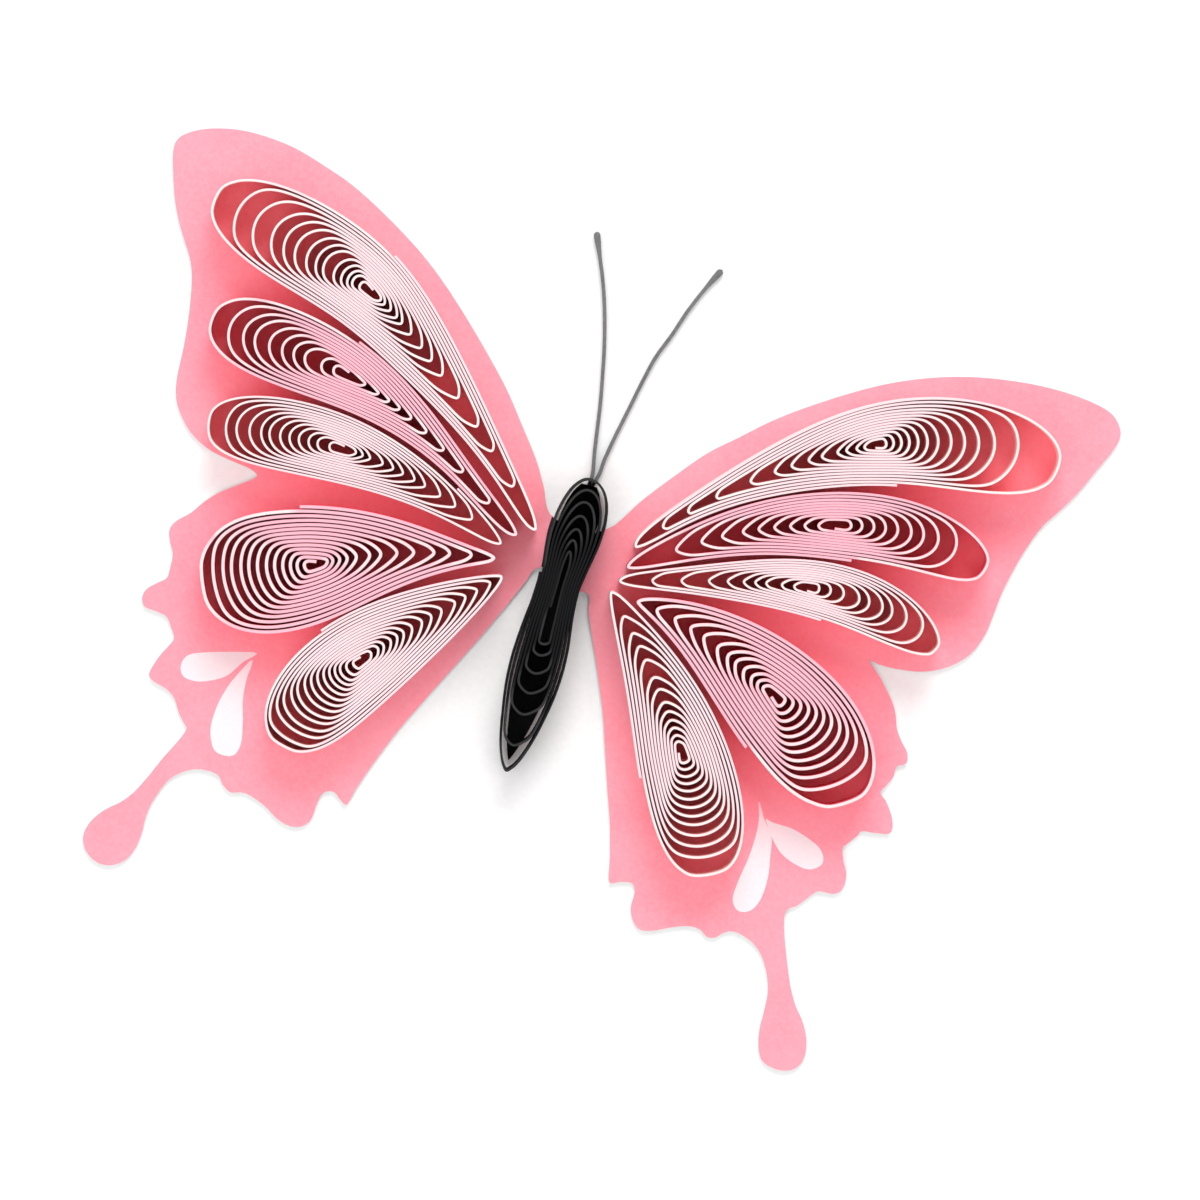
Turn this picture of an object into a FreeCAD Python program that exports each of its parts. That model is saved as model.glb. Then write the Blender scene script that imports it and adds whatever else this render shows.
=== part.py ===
import FreeCAD, Part
import math
import os

# Quilled paper butterfly, millimetres.
# One sheet of card cut to the outline of the wings, with a spine under the body
# and two thin antennae, lies flat on its back face.  Ten teardrop coils and one
# long body coil, each a single strip of paper wound on edge, stand on the card.
# The frame: origin on the back face of the card under the waist of the body,
# +X to the right wing, +Y to the head, +Z up off the card.

doc = FreeCAD.newDocument("quilled_butterfly")

# ---------------------------------------------------------------- sizes
sheet = doc.addObject("Spreadsheet::Sheet", "Sizes")
ROWS = [
    ("strip_height", 3.0, "width of the quilling strip, standing on edge"),
    ("card_thickness", 0.3, "thickness of the card sheet"),
    ("body_strip", 0.125, "thickness of the black strip"),
    ("light_strip", 0.125, "thickness of the pale pink strips"),
    ("light_strip_fine", 0.11, "thickness of the pale strips in the two slim coils"),
    ("rose_strip", 0.135, "thickness of the rose strips"),
    ("rose_strip_heavy", 0.165, "thickness of the rose strips in the two widest coils"),
    ("spine_inset", 0.45, "how far the spine stays inside the body coil"),
    ("antenna_width", 0.19, "width of a cut antenna"),
    ("club_width", 0.34, "width of the club at its end"),
    ("club_length", 1.5, "length of the club"),
]
for i, (alias, value, note) in enumerate(ROWS):
    sheet.set("A%d" % (i + 1), alias)
    sheet.set("B%d" % (i + 1), "%g" % value)
    sheet.set("C%d" % (i + 1), note)
    sheet.setAlias("B%d" % (i + 1), alias)
doc.recompute()
SIZE = {alias: float(sheet.get(alias)) for alias, value, note in ROWS}

# ---------------------------------------------------------------- coil tables
# round_end, tip: the ends of the coil's middle line; bow: how it bends sideways
# (three terms); width: largest half width; the two powers shape its outline;
# eye: centre of the winding; slack: how much looser the turns lie off the eye;
# stations: where each turn crosses the middle line, measured from the eye.
COILS = {
    "left_forewing_coil_upper": dict(
        round_end=(-23.156, 15.232), tip=(-2.030, 3.025), bow=(2.221, -0.287, -0.059),
        width=2.496, round_power=0.406, tip_power=1.397, eye=(-14.056, 12.824), slack=0.15,
        nose=(0.25, 0.06, 1.0, 0.66, 0.50), back=(0.5, 0.5), seam=0.29,
        tip_stations=(0.531, 0.884, 1.164, 1.607, 2.093, 2.506, 3.228, 4.127, 4.982, 5.925, 7.384, 9.182, 10.701, 12.852, 15.417),
        round_stations=(0.442, 0.884, 1.164, 1.518, 1.960, 2.624, 3.066, 3.626, 4.333, 5.011, 5.748, 6.839, 7.930, 9.286)),
    "left_forewing_coil_middle": dict(
        round_end=(-21.543, 9.135), tip=(-2.905, 2.517), bow=(1.835, -0.108, -0.807),
        width=2.148, round_power=0.403, tip_power=1.673, eye=(-13.918, 8.215), slack=0.15,
        nose=(0.25, 0.06, 1.0, 0.66, 0.50), back=(0.5, 0.5), seam=0.29,
        tip_stations=(0.368, 1.135, 1.990, 2.668, 3.360, 4.142, 5.218, 6.515, 8.033, 10.170, 12.381),
        round_stations=(0.678, 1.356, 2.329, 2.963, 3.611, 4.333, 5.144, 5.778, 6.574, 7.591)),
    "left_forewing_coil_lower": dict(
        round_end=(-20.244, 3.698), tip=(-3.564, 1.862), bow=(1.558, 0.089, -0.196),
        width=1.988, round_power=0.350, tip_power=1.019, eye=(-13.054, 4.383), slack=0.15,
        nose=(0.25, 0.06, 1.0, 0.66, 0.50), back=(0.5, 0.5), seam=0.15,
        tip_stations=(0.413, 0.781, 1.164, 1.577, 2.299, 2.904, 3.478, 4.171, 4.805, 5.748, 6.706, 7.812, 9.801),
        round_stations=(0.649, 1.297, 1.783, 2.314, 2.815, 3.316, 3.891, 4.333, 4.952, 5.645, 6.205, 7.134)),
    "left_hindwing_coil_upper": dict(
        round_end=(-18.280, -4.350), tip=(-3.663, 1.113), bow=(0.748, 0.256, -0.320),
        width=3.342, round_power=0.430, tip_power=1.285, eye=(-12.781, -1.860), slack=0.04,
        nose=(0.7, 0.12, 1.0, 0.9, 0.62), back=(0.5, 0.5), seam=0.29,
        tip_stations=(0.427, 0.737, 1.032, 1.400, 1.798, 2.285, 2.992, 3.582, 4.436, 5.321, 6.382, 7.207, 8.342, 9.551),
        round_stations=(0.501, 0.884, 1.238, 1.636, 2.063, 2.491, 2.963, 3.419, 3.832, 4.333, 4.775, 5.306, 5.925)),
    "left_hindwing_coil_lower": dict(
        round_end=(-11.740, -11.560), tip=(-3.040, 0.294), bow=(0.977, -0.520, 0.134),
        width=2.579, round_power=0.394, tip_power=0.925, eye=(-9.046, -6.118), slack=0.15,
        nose=(0.7, 0.12, 1.0, 0.9, 0.62), back=(0.5, 0.5), seam=0.29,
        tip_stations=(0.383, 0.752, 1.194, 1.533, 1.975, 2.373, 2.771, 3.287, 3.891, 4.466, 5.085, 5.896, 6.529, 7.222, 8.018, 8.696),
        round_stations=(0.354, 0.781, 1.150, 1.444, 1.754, 2.093, 2.461, 2.845, 3.243, 3.714, 4.097, 4.613, 5.026, 5.616, 6.043)),
    "right_forewing_coil_upper": dict(
        round_end=(23.481, 13.699), tip=(3.176, 3.647), bow=(-2.905, 0.359, -0.360),
        width=2.494, round_power=0.379, tip_power=1.410, eye=(13.981, 12.386), slack=0.15,
        nose=(0.25, 0.06, 1.0, 0.66, 0.50), back=(0.5, 0.5), seam=0.29,
        tip_stations=(0.354, 0.707, 1.120, 1.666, 2.137, 2.977, 3.699, 4.643, 5.571, 6.942, 8.917, 10.597, 12.145, 13.914),
        round_stations=(0.442, 0.825, 1.238, 1.651, 2.108, 2.594, 3.154, 3.832, 4.540, 5.277, 6.102, 7.311, 9.566)),
    "right_forewing_coil_middle": dict(
        round_end=(21.304, 7.523), tip=(3.095, 2.529), bow=(-2.534, 0.581, 0.033),
        width=1.877, round_power=0.357, tip_power=0.931, eye=(13.092, 7.716), slack=0.15,
        nose=(0.25, 0.06, 1.0, 0.66, 0.50), back=(0.5, 0.5), seam=0.29,
        tip_stations=(0.413, 0.958, 1.695, 2.461, 3.302, 4.142, 4.982, 6.102, 7.222, 8.622, 11.320),
        round_stations=(0.766, 1.341, 1.975, 2.594, 3.243, 3.965, 4.628, 5.424, 6.397, 8.254)),
    "right_forewing_coil_lower": dict(
        round_end=(19.980, 2.758), tip=(2.881, 1.730), bow=(-1.610, 0.769, -0.272),
        width=1.609, round_power=0.458, tip_power=1.249, eye=(12.686, 4.164), slack=0.15,
        nose=(0.25, 0.06, 1.0, 0.66, 0.50), back=(0.5, 0.5), seam=0.29,
        tip_stations=(0.340, 0.850, 1.500, 2.329, 2.904, 3.508, 4.348, 5.336, 6.780, 8.313, 10.023),
        round_stations=(0.450, 1.050, 1.750, 2.609, 3.154, 3.906, 4.451, 5.277, 6.235, 7.369)),
    "right_hindwing_coil_outer": dict(
        round_end=(17.637, -6.322), tip=(4.063, 0.939), bow=(-1.589, 0.058, -0.456),
        width=3.020, round_power=0.407, tip_power=1.000, eye=(12.582, -1.935), slack=0.04,
        nose=(0.7, 0.12, 1.0, 0.9, 0.62), back=(0.5, 0.5), seam=0.29,
        tip_stations=(0.545, 0.929, 1.312, 1.739, 2.299, 2.889, 3.434, 4.127, 5.041, 5.881, 6.839, 7.900, 8.991),
        round_stations=(0.427, 0.884, 1.341, 1.813, 2.270, 2.727, 3.213, 3.758, 4.260, 4.805, 5.542, 6.633)),
    "right_hindwing_coil_inner": dict(
        round_end=(11.744, -11.946), tip=(2.616, 1.143), bow=(-0.878, 0.028, 0.271),
        width=2.549, round_power=0.377, tip_power=0.994, eye=(8.658, -6.184), slack=0.15,
        nose=(0.7, 0.12, 1.0, 0.9, 0.62), back=(0.5, 0.5), seam=0.29,
        tip_stations=(0.413, 0.796, 1.135, 1.548, 1.975, 2.461, 2.977, 3.714, 4.392, 5.409, 6.205, 6.972, 7.974, 9.403),
        round_stations=(0.383, 0.737, 1.120, 1.503, 1.901, 2.344, 2.786, 3.257, 3.714, 4.289, 4.864, 5.453, 6.411)),
}
STRIP = {
    "left_forewing_coil_upper": "light_strip",
    "left_forewing_coil_middle": "rose_strip",
    "left_forewing_coil_lower": "light_strip_fine",
    "left_hindwing_coil_upper": "rose_strip_heavy",
    "left_hindwing_coil_lower": "light_strip",
    "right_forewing_coil_upper": "light_strip",
    "right_forewing_coil_middle": "rose_strip",
    "right_forewing_coil_lower": "light_strip_fine",
    "right_hindwing_coil_outer": "rose_strip_heavy",
    "right_hindwing_coil_inner": "light_strip",
}

# the body: (along Y, middle in X, half width) from tail to head
BODY = [
    (-9.564, 0.000, 0.000), (-9.495, -0.010, 0.150), (-9.290, -0.020, 0.322),
    (-8.952, -0.030, 0.496), (-8.487, -0.030, 0.677), (-7.904, -0.023, 0.852),
    (-7.211, -0.010, 1.017), (-6.420, 0.000, 1.165), (-5.546, 0.000, 1.315),
    (-4.604, -0.001, 1.420), (-3.608, -0.005, 1.457), (-2.578, -0.015, 1.410),
    (-1.529, -0.049, 1.300), (-0.480, -0.067, 1.185), (0.551, -0.080, 1.145),
    (1.546, -0.065, 1.237), (2.489, -0.045, 1.376), (3.363, -0.017, 1.470),
    (4.153, 0.018, 1.480), (4.846, 0.040, 1.400), (5.430, 0.050, 1.250),
    (5.895, 0.045, 1.030), (6.232, 0.030, 0.740), (6.437, 0.010, 0.380),
    (6.506, 0.000, 0.000),
]
BODY_TIPS = (2.0, 2.56, 3.17, 4.16, 5.24, 6.40, 8.10, 9.49)
BODY_ROUNDS = (2.50, 3.12, 3.73, 4.46, 5.22, 5.88, 6.43)

# ---------------------------------------------------------------- winding


def smooth_table(xs, ys):
    """Monotone cubic through the table."""
    n = len(xs)
    h = [xs[i + 1] - xs[i] for i in range(n - 1)]
    d = [(ys[i + 1] - ys[i]) / h[i] for i in range(n - 1)]
    m = [0.0] * n
    m[0] = d[0]
    m[-1] = d[-1]
    for i in range(1, n - 1):
        if d[i - 1] * d[i] > 0:
            m[i] = (h[i - 1] + h[i]) * 3 / ((2 * h[i] + h[i - 1]) / d[i - 1]
                                            + (h[i] + 2 * h[i - 1]) / d[i])

    def value(x):
        if x <= xs[0]:
            return ys[0] + m[0] * (x - xs[0])
        if x >= xs[-1]:
            return ys[-1] + m[-1] * (x - xs[-1])
        lo, hi = 0, n - 1
        while hi - lo > 1:
            mid = (lo + hi) // 2
            if xs[mid] <= x:
                lo = mid
            else:
                hi = mid
        t = (x - xs[lo]) / h[lo]
        return (ys[lo] * (1 + 2 * t) * (1 - t) ** 2
                + ys[lo + 1] * t * t * (3 - 2 * t)
                + h[lo] * m[lo] * t * (1 - t) ** 2
                + h[lo] * m[lo + 1] * t * t * (t - 1))
    return value


class TeardropLine:
    """Bowed middle line and half width of a teardrop coil."""

    def __init__(self, c):
        self.E = c["round_end"]
        self.T = c["tip"]
        self.b = c["bow"]
        self.W = c["width"]
        self.a = c["round_power"]
        self.e = c["tip_power"]
        dx, dy = self.T[0] - self.E[0], self.T[1] - self.E[1]
        L = math.hypot(dx, dy)
        self.d = (dx, dy)
        self.n = (-dy / L, dx / L)
        self.L = L
        M = 1200
        self.sx = [i / M for i in range(M + 1)]
        P = [self.on_axis(q)[0] for q in self.sx]
        arc = [0.0]
        for i in range(M):
            arc.append(arc[-1] + math.hypot(P[i + 1][0] - P[i][0], P[i + 1][1] - P[i][1]))
        eye = c["eye"]
        i = min(range(M + 1), key=lambda j: math.hypot(P[j][0] - eye[0], P[j][1] - eye[1]))
        self.arc = [q - arc[i] for q in arc]
        nn = self.on_axis(self.sx[i])[1]
        self.lat = (eye[0] - P[i][0]) * nn[0] + (eye[1] - P[i][1]) * nn[1]
        self.Lt = self.arc[-1]
        self.Lr = -self.arc[0]

    def on_axis(self, q):
        u = 2 * q - 1
        g = 4 * q * (1 - q)
        B = self.b[0] + self.b[1] * u + self.b[2] * u * u
        P = (self.E[0] + self.d[0] * q + self.n[0] * g * B,
             self.E[1] + self.d[1] * q + self.n[1] * g * B)
        do = 4 * (1 - 2 * q) * B + g * (2 * self.b[1] + 4 * self.b[2] * u)
        D = (self.d[0] + self.n[0] * do, self.d[1] + self.n[1] * do)
        l = math.hypot(D[0], D[1])
        return P, (-D[1] / l, D[0] / l)

    def part_of(self, x):
        a = self.arc
        if x <= a[0]:
            return 0.0
        if x >= a[-1]:
            return 1.0
        lo, hi = 0, len(a) - 1
        while hi - lo > 1:
            m = (lo + hi) // 2
            if a[m] <= x:
                lo = m
            else:
                hi = m
        return self.sx[lo] + (x - a[lo]) / (a[hi] - a[lo]) * (self.sx[hi] - self.sx[lo])

    def half_width(self, x):
        q = self.part_of(x)
        sm = self.a / (self.a + self.e)
        w = self.W * (max(q, 0) ** self.a) * (max(1 - q, 0) ** self.e) \
            / (sm ** self.a * (1 - sm) ** self.e)
        d = max(self.Lt - x, 0)
        return math.sqrt(w * w + 0.2 * d * math.exp(-d / 3.0))

    def place(self, x, y):
        P, n = self.on_axis(self.part_of(x))
        ex = x - self.Lt if x > self.Lt else (x + self.Lr if x < -self.Lr else 0.0)
        y = y + self.lat * math.exp(-(x / 4.4) ** 2)
        return (P[0] + n[1] * ex + n[0] * y, P[1] - n[0] * ex + n[1] * y)


class BodyLine:
    """Nearly straight middle line of the body; x runs from the waist to the tail."""

    def __init__(self, rows):
        self.w = smooth_table([r[0] for r in rows], [r[2] for r in rows])
        self.m = smooth_table([r[0] for r in rows], [r[1] for r in rows])
        self.lo = rows[0][0]
        self.hi = rows[-1][0]
        self.Lt = -self.lo
        self.Lr = self.hi
        self.L = self.Lt + self.Lr

    def half_width(self, x):
        y = -x
        if y <= self.lo or y >= self.hi:
            return 0.0
        # round the two ends off like an arc
        w = self.w(y)
        e = min(y - self.lo, self.hi - y)
        if e < 0.2:
            w = max(w, math.sqrt(2 * (0.18 if y < 0 else 0.55) * e))
        return w

    def place(self, x, y):
        yy = max(self.lo, min(self.hi, -x))
        return (self.m(yy) - y, -x)


class Winding:
    """Level curves from the eye out, followed as one spiral that ends on a flank."""

    def __init__(self, line, tips, rounds, strip, first, slack, seam, nose, back):
        self.line = line
        self.t = strip
        self.N = len(tips) - 1
        self.A = smooth_table([float(k) for k in range(self.N + 1)], list(tips))
        self.R = smooth_table([-0.5] + [k + 0.5 for k in range(self.N)] + [self.N + 0.5],
                              [0.75 * rounds[0]] + list(rounds) + [rounds[-1] + strip + 0.03])
        self.first = first
        self.slack = slack
        self.seam = seam
        self.nose = nose
        self.back = back
        self.pitch = (line.half_width(0.0) - strip / 2 - first) / self.N

    def depth(self, k, side):
        """How many pitches a turn lies inside the outermost one on its side."""
        return self.N + 0.25 * side - k

    def flank(self, x, k, side):
        ln = self.line
        h = 1e-3 * ln.L
        wp = 0.0
        if -ln.Lr + h < x < ln.Lt - h:
            wp = (ln.half_width(x + h) - ln.half_width(x - h)) / (2 * h)
        wp = max(-0.9, min(0.9, wp))
        p = self.pitch * (1 + self.slack * (1 - math.exp(-(x / 3.0) ** 2)))
        return ln.half_width(x) - self.t / 2 - self.depth(k, side) * p * math.sqrt(1 + wp * wp)

    def half_height(self, x, k, side):
        A, R = self.A(min(k, float(self.N))), self.R(k)
        dt, dr = max(0.0, A - x), max(0.0, x + R)
        f = min(1.0, k / self.N)
        r_in, r_out, power, s_in, s_out = self.nose
        w = (1 - f) ** power
        r = (r_out + (r_in - r_out) * w) * self.flank(A, k, side)
        r = max(self.t / 2 + 0.03, min(1.2, r))
        slope = s_out + (s_in - s_out) * w
        Et = math.sqrt(2 * r * dt + (slope * dt) ** 2)
        H = (1.12 + 0.5 * max(0.0, (f - 0.7) / 0.3) ** 2) * max(0.12, self.flank(-0.4 * R, k, side))
        q = min(1.0, dr / (R * self.back[0 if side > 0 else 1] + 0.1))
        Er = H * math.sqrt(max(0.0, 1 - (1 - q) ** 2))
        v = [max(1e-6, e) for e in (Et, Er, self.flank(x, k, side))]
        return sum(e ** -7.0 for e in v) ** (-1 / 7.0)

    def point(self, T):
        u = T - math.floor(T)
        A, R = self.A(min(T, float(self.N))), self.R(T)
        x = (A - R) / 2 + (A + R) / 2 * math.cos(2 * math.pi * u)
        y = 0.0
        if 0.0 < u < 1.0 and u != 0.5:
            side = 1 if u < 0.5 else -1
            y = self.half_height(x, T, side) * side
        return self.line.place(x, y)

    def middle(self, per_turn=220):
        T0, T1 = 0.2, self.N + self.seam
        m = int(round((T1 - T0) * per_turn))
        return [self.point(T0 + (T1 - T0) * i / m) for i in range(m + 1)]


def offset(P, d):
    out = []
    n = len(P)
    for i in range(n):
        a = P[max(0, i - 1)]
        b = P[min(n - 1, i + 1)]
        dx, dy = b[0] - a[0], b[1] - a[1]
        l = math.hypot(dx, dy)
        out.append((P[i][0] - dy / l * d, P[i][1] + dx / l * d))
    return out


def thin_out(P, tol):
    """Fewest corners that stay within tol of the line."""
    keep = [False] * len(P)
    keep[0] = keep[-1] = True
    stack = [(0, len(P) - 1)]
    while stack:
        i, j = stack.pop()
        if j - i < 2:
            continue
        ax, ay = P[i]
        bx, by = P[j]
        dx, dy = bx - ax, by - ay
        l2 = dx * dx + dy * dy
        best, at = -1.0, None
        for k in range(i + 1, j):
            px, py = P[k][0] - ax, P[k][1] - ay
            t = 0.0 if l2 == 0 else max(0.0, min(1.0, (px * dx + py * dy) / l2))
            e = (px - t * dx) ** 2 + (py - t * dy) ** 2
            if e > best:
                best, at = e, k
        if best > tol * tol:
            keep[at] = True
            stack.append((i, at))
            stack.append((at, j))
    return [p for p, k in zip(P, keep) if k]


def even(P, step):
    """Evenly spaced points along an open line."""
    out = [P[0]]
    left = step
    for i in range(len(P) - 1):
        a, b = P[i], P[i + 1]
        l = math.hypot(b[0] - a[0], b[1] - a[1])
        while l >= left and l > 0:
            f = left / l
            a = (a[0] + (b[0] - a[0]) * f, a[1] + (b[1] - a[1]) * f)
            out.append(a)
            l -= left
            left = step
        left -= l
    out.append(P[-1])
    return out


def crossing(a, b, c, d):
    """Where segment ab meets segment cd, or None."""
    rx, ry = b[0] - a[0], b[1] - a[1]
    sx, sy = d[0] - c[0], d[1] - c[1]
    den = rx * sy - ry * sx
    if abs(den) < 1e-12:
        return None
    t = ((c[0] - a[0]) * sy - (c[1] - a[1]) * sx) / den
    u = ((c[0] - a[0]) * ry - (c[1] - a[1]) * rx) / den
    if -0.01 <= t <= 1.01 and -0.01 <= u <= 1.01:
        return (a[0] + rx * t, a[1] + ry * t)
    return None


def unlooped(P, reach=36):
    """Cut off the small loops that an offset makes inside a tight bend."""
    out = [P[0]]
    i = 0
    while i < len(P) - 1:
        cut = None
        for j in range(min(len(P) - 2, i + reach), i + 1, -1):
            X = crossing(P[i], P[i + 1], P[j], P[j + 1])
            if X is not None:
                cut = (j, X)
                break
        if cut:
            out.append(cut[1])
            i = cut[0] + 1
        else:
            i += 1
        out.append(P[i])
    return out


def spaced(P, least=0.012):
    """Leave out corners that nearly touch the one before."""
    out = [P[0]]
    for p in P[1:-1]:
        if math.hypot(p[0] - out[-1][0], p[1] - out[-1][1]) >= least:
            out.append(p)
    while len(out) > 1 and math.hypot(P[-1][0] - out[-1][0], P[-1][1] - out[-1][1]) < least:
        out.pop()
    return out + [P[-1]]


def band(P, t, tol=0.007):
    """Closed outline of a strip of thickness t along its middle line."""
    up = spaced(thin_out(unlooped(offset(P, t / 2)), tol))
    lo = spaced(thin_out(unlooped(offset(P, -t / 2)), tol))
    return up + lo[::-1]


def rounded(points, closed, n=6):
    """Catmull-Rom line through the given points."""
    m = len(points)
    out = []
    for i in range(m if closed else m - 1):
        if closed:
            p0, p1, p2, p3 = (points[(i + j) % m] for j in (-1, 0, 1, 2))
        else:
            p0 = points[max(0, i - 1)]
            p1, p2 = points[i], points[i + 1]
            p3 = points[min(m - 1, i + 2)]
        for j in range(n):
            t = j / n
            out.append(tuple(0.5 * (2 * p1[c] + (p2[c] - p0[c]) * t
                                    + (2 * p0[c] - 5 * p1[c] + 4 * p2[c] - p3[c]) * t * t
                                    + (3 * p1[c] - p0[c] - 3 * p2[c] + p3[c]) * t ** 3)
                             for c in (0, 1)))
    if not closed:
        out.append(points[-1])
    return out

# ---------------------------------------------------------------- solids


def draw(body, name, points):
    sketch = body.newObject("Sketcher::SketchObject", name)
    plane = [o for o in body.Origin.OriginFeatures if o.Role == "XY_Plane"][0]
    sketch.AttachmentSupport = [(plane, "")]
    sketch.MapMode = "FlatFace"
    V = [FreeCAD.Vector(round(x, 5), round(y, 5), 0) for x, y in points]
    lines = []
    for i in range(len(V)):
        a, b = V[i], V[(i + 1) % len(V)]
        if a.distanceToPoint(b) > 1e-4:
            lines.append(Part.LineSegment(a, b))
    sketch.addGeometry(lines, False)
    return sketch


def raise_pad(body, sketch, name, size):
    pad = body.newObject("PartDesign::Pad", name)
    pad.Profile = sketch
    pad.setExpression("Length", "Sizes." + size)
    sketch.Visibility = False
    return pad


PIECES = []


def coil(label, winding):
    body = doc.addObject("PartDesign::Body", label)
    body.Label = label
    body.setExpression("Placement.Base.z", "Sizes.card_thickness")
    sketch = draw(body, label + "_winding", band(winding.middle(), winding.t))
    raise_pad(body, sketch, label + "_strip", "strip_height")
    PIECES.append(body)


for label in COILS:
    c = COILS[label]
    strip = SIZE[STRIP[label]]
    coil(label, Winding(TeardropLine(c), c["tip_stations"], c["round_stations"],
                        strip, 0.19, c["slack"], c["seam"], c["nose"], c["back"]))

body_line = BodyLine(BODY)
coil("body_coil", Winding(body_line, BODY_TIPS, BODY_ROUNDS, SIZE["body_strip"],
                          0.125, 0.20, 0.30, (0.7, 0.5, 1.0, 0.9, 0.9), (0.5, 0.5)))

# ---------------------------------------------------------------- card
LEFT_WING = [
    (-1.51, 4.06), (-2.26, 5.38), (-3.07, 6.68), (-4.28, 8.20), (-5.46, 9.65), (-6.80, 11.04), (-8.46, 12.62), (-10.06, 14.03),
    (-11.58, 15.20), (-13.25, 16.25), (-14.88, 17.14), (-16.46, 17.88), (-17.97, 18.38), (-19.63, 18.84), (-21.05, 19.02), (-22.42, 19.03),
    (-23.57, 18.86), (-24.65, 18.53), (-25.46, 18.08), (-25.91, 17.58), (-25.95, 16.93), (-25.63, 15.82), (-25.19, 14.59), (-24.67, 13.54),
    (-24.04, 12.53), (-23.57, 11.82), (-23.18, 10.90), (-22.89, 9.62), (-22.68, 8.32), (-22.54, 7.01), (-22.46, 5.66), (-22.27, 4.69),
    (-21.89, 3.94), (-21.24, 3.19), (-20.48, 2.65), (-19.62, 2.30), (-18.53, 2.11), (-17.48, 1.98), (-16.99, 1.77), (-17.10, 1.49),
    (-17.89, 0.88), (-18.66, 0.27), (-19.24, -0.38), (-19.78, -1.16), (-20.38, -1.76), (-20.60, -2.31), (-20.39, -2.91), (-20.07, -3.50),
    (-20.01, -4.24), (-20.03, -4.79), (-20.44, -5.18), (-20.89, -5.65), (-20.99, -6.15), (-20.72, -6.57), (-20.02, -6.64), (-19.46, -6.77),
    (-19.08, -7.24), (-18.78, -7.73), (-18.91, -8.15), (-19.22, -8.77), (-19.45, -9.45), (-19.51, -9.95), (-19.18, -10.23), (-18.39, -10.45),
    (-17.86, -10.82), (-17.49, -11.39), (-17.06, -11.88), (-16.82, -12.19), (-17.12, -13.00), (-17.60, -14.00), (-18.05, -15.09), (-18.53, -16.09),
    (-19.08, -16.83), (-19.84, -17.53), (-20.37, -18.36), (-20.48, -19.16), (-20.13, -19.82), (-19.44, -20.24), (-18.69, -20.20), (-18.05, -19.76),
    (-17.68, -19.01), (-17.56, -18.11), (-17.59, -17.35), (-17.53, -16.57), (-17.29, -15.73), (-16.94, -14.96), (-16.34, -14.37), (-15.67, -14.04),
    (-15.03, -13.97), (-14.51, -14.07), (-14.17, -14.45), (-13.66, -14.73), (-13.12, -14.59), (-12.63, -14.61), (-11.78, -14.90), (-10.87, -15.41),
    (-10.14, -15.58), (-9.52, -15.40), (-9.18, -14.92), (-9.12, -14.13), (-9.02, -13.54), (-8.72, -13.25), (-8.34, -13.23), (-7.97, -13.51),
    (-7.57, -13.65), (-7.38, -12.86), (-6.98, -11.60), (-6.56, -10.42), (-6.00, -9.01), (-5.18, -7.24), (-4.22, -5.24), (-3.27, -3.23),
    (-2.46, -1.37), (-1.78, 0.27), (-1.38, 1.15),
    (0.30, 1.90), (0.30, 3.40),
]
RIGHT_WING = [
    (1.56, 4.14), (2.10, 4.73), (2.99, 6.19), (4.26, 7.88), (5.55, 9.46), (6.94, 10.74), (8.32, 12.02), (9.75, 13.13),
    (11.58, 14.39), (13.45, 15.51), (15.38, 16.41), (17.38, 17.09), (19.43, 17.53), (21.55, 17.78), (23.53, 17.78), (25.13, 17.54),
    (25.88, 17.10), (26.26, 16.44), (26.12, 15.63), (25.60, 14.40), (24.95, 12.89), (24.37, 11.85), (23.62, 10.63), (23.13, 9.29),
    (22.82, 8.10), (22.56, 6.72), (22.46, 5.58), (22.34, 4.46), (21.99, 3.38), (21.36, 2.53), (20.46, 1.87), (19.47, 1.48),
    (18.22, 1.29), (17.36, 1.27), (16.84, 1.32), (17.70, 0.54), (18.54, -0.37), (18.95, -1.02), (19.22, -1.71), (19.62, -2.27),
    (20.10, -2.80), (20.21, -3.34), (19.78, -3.66), (19.75, -4.24), (19.52, -4.78), (19.33, -5.22), (19.76, -5.59), (20.23, -6.22),
    (20.46, -6.81), (20.33, -7.19), (19.61, -7.35), (18.96, -7.45), (18.77, -7.79), (18.43, -8.27), (18.24, -8.61), (18.46, -9.22),
    (18.81, -9.88), (18.83, -10.64), (18.47, -11.04), (17.64, -11.14), (17.26, -11.53), (16.78, -12.16), (16.29, -12.58), (16.37, -13.28),
    (16.73, -14.32), (17.16, -15.35), (17.61, -16.37), (18.15, -17.27), (18.73, -17.96), (19.19, -18.79), (19.37, -19.69), (19.18, -20.33),
    (18.68, -20.72), (17.93, -20.79), (17.24, -20.54), (16.86, -19.85), (16.67, -18.94), (16.64, -18.00), (16.56, -17.06), (16.27, -16.19),
    (15.79, -15.36), (15.25, -14.84), (14.58, -14.53), (13.88, -14.43), (13.38, -14.68), (13.09, -14.99), (12.64, -15.09), (12.21, -14.83),
    (11.59, -14.81), (10.73, -15.11), (9.88, -15.54), (9.17, -15.71), (8.70, -15.40), (8.35, -14.74), (8.32, -13.89), (8.05, -13.48),
    (7.48, -13.55), (6.87, -13.72), (6.55, -12.48), (6.03, -10.71), (5.39, -8.98), (4.77, -7.24), (4.09, -5.32), (3.38, -3.68),
    (2.65, -2.06), (1.86, -0.37), (1.50, 0.60),
    (-0.30, 0.40), (-0.30, 2.60),
]
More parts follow.
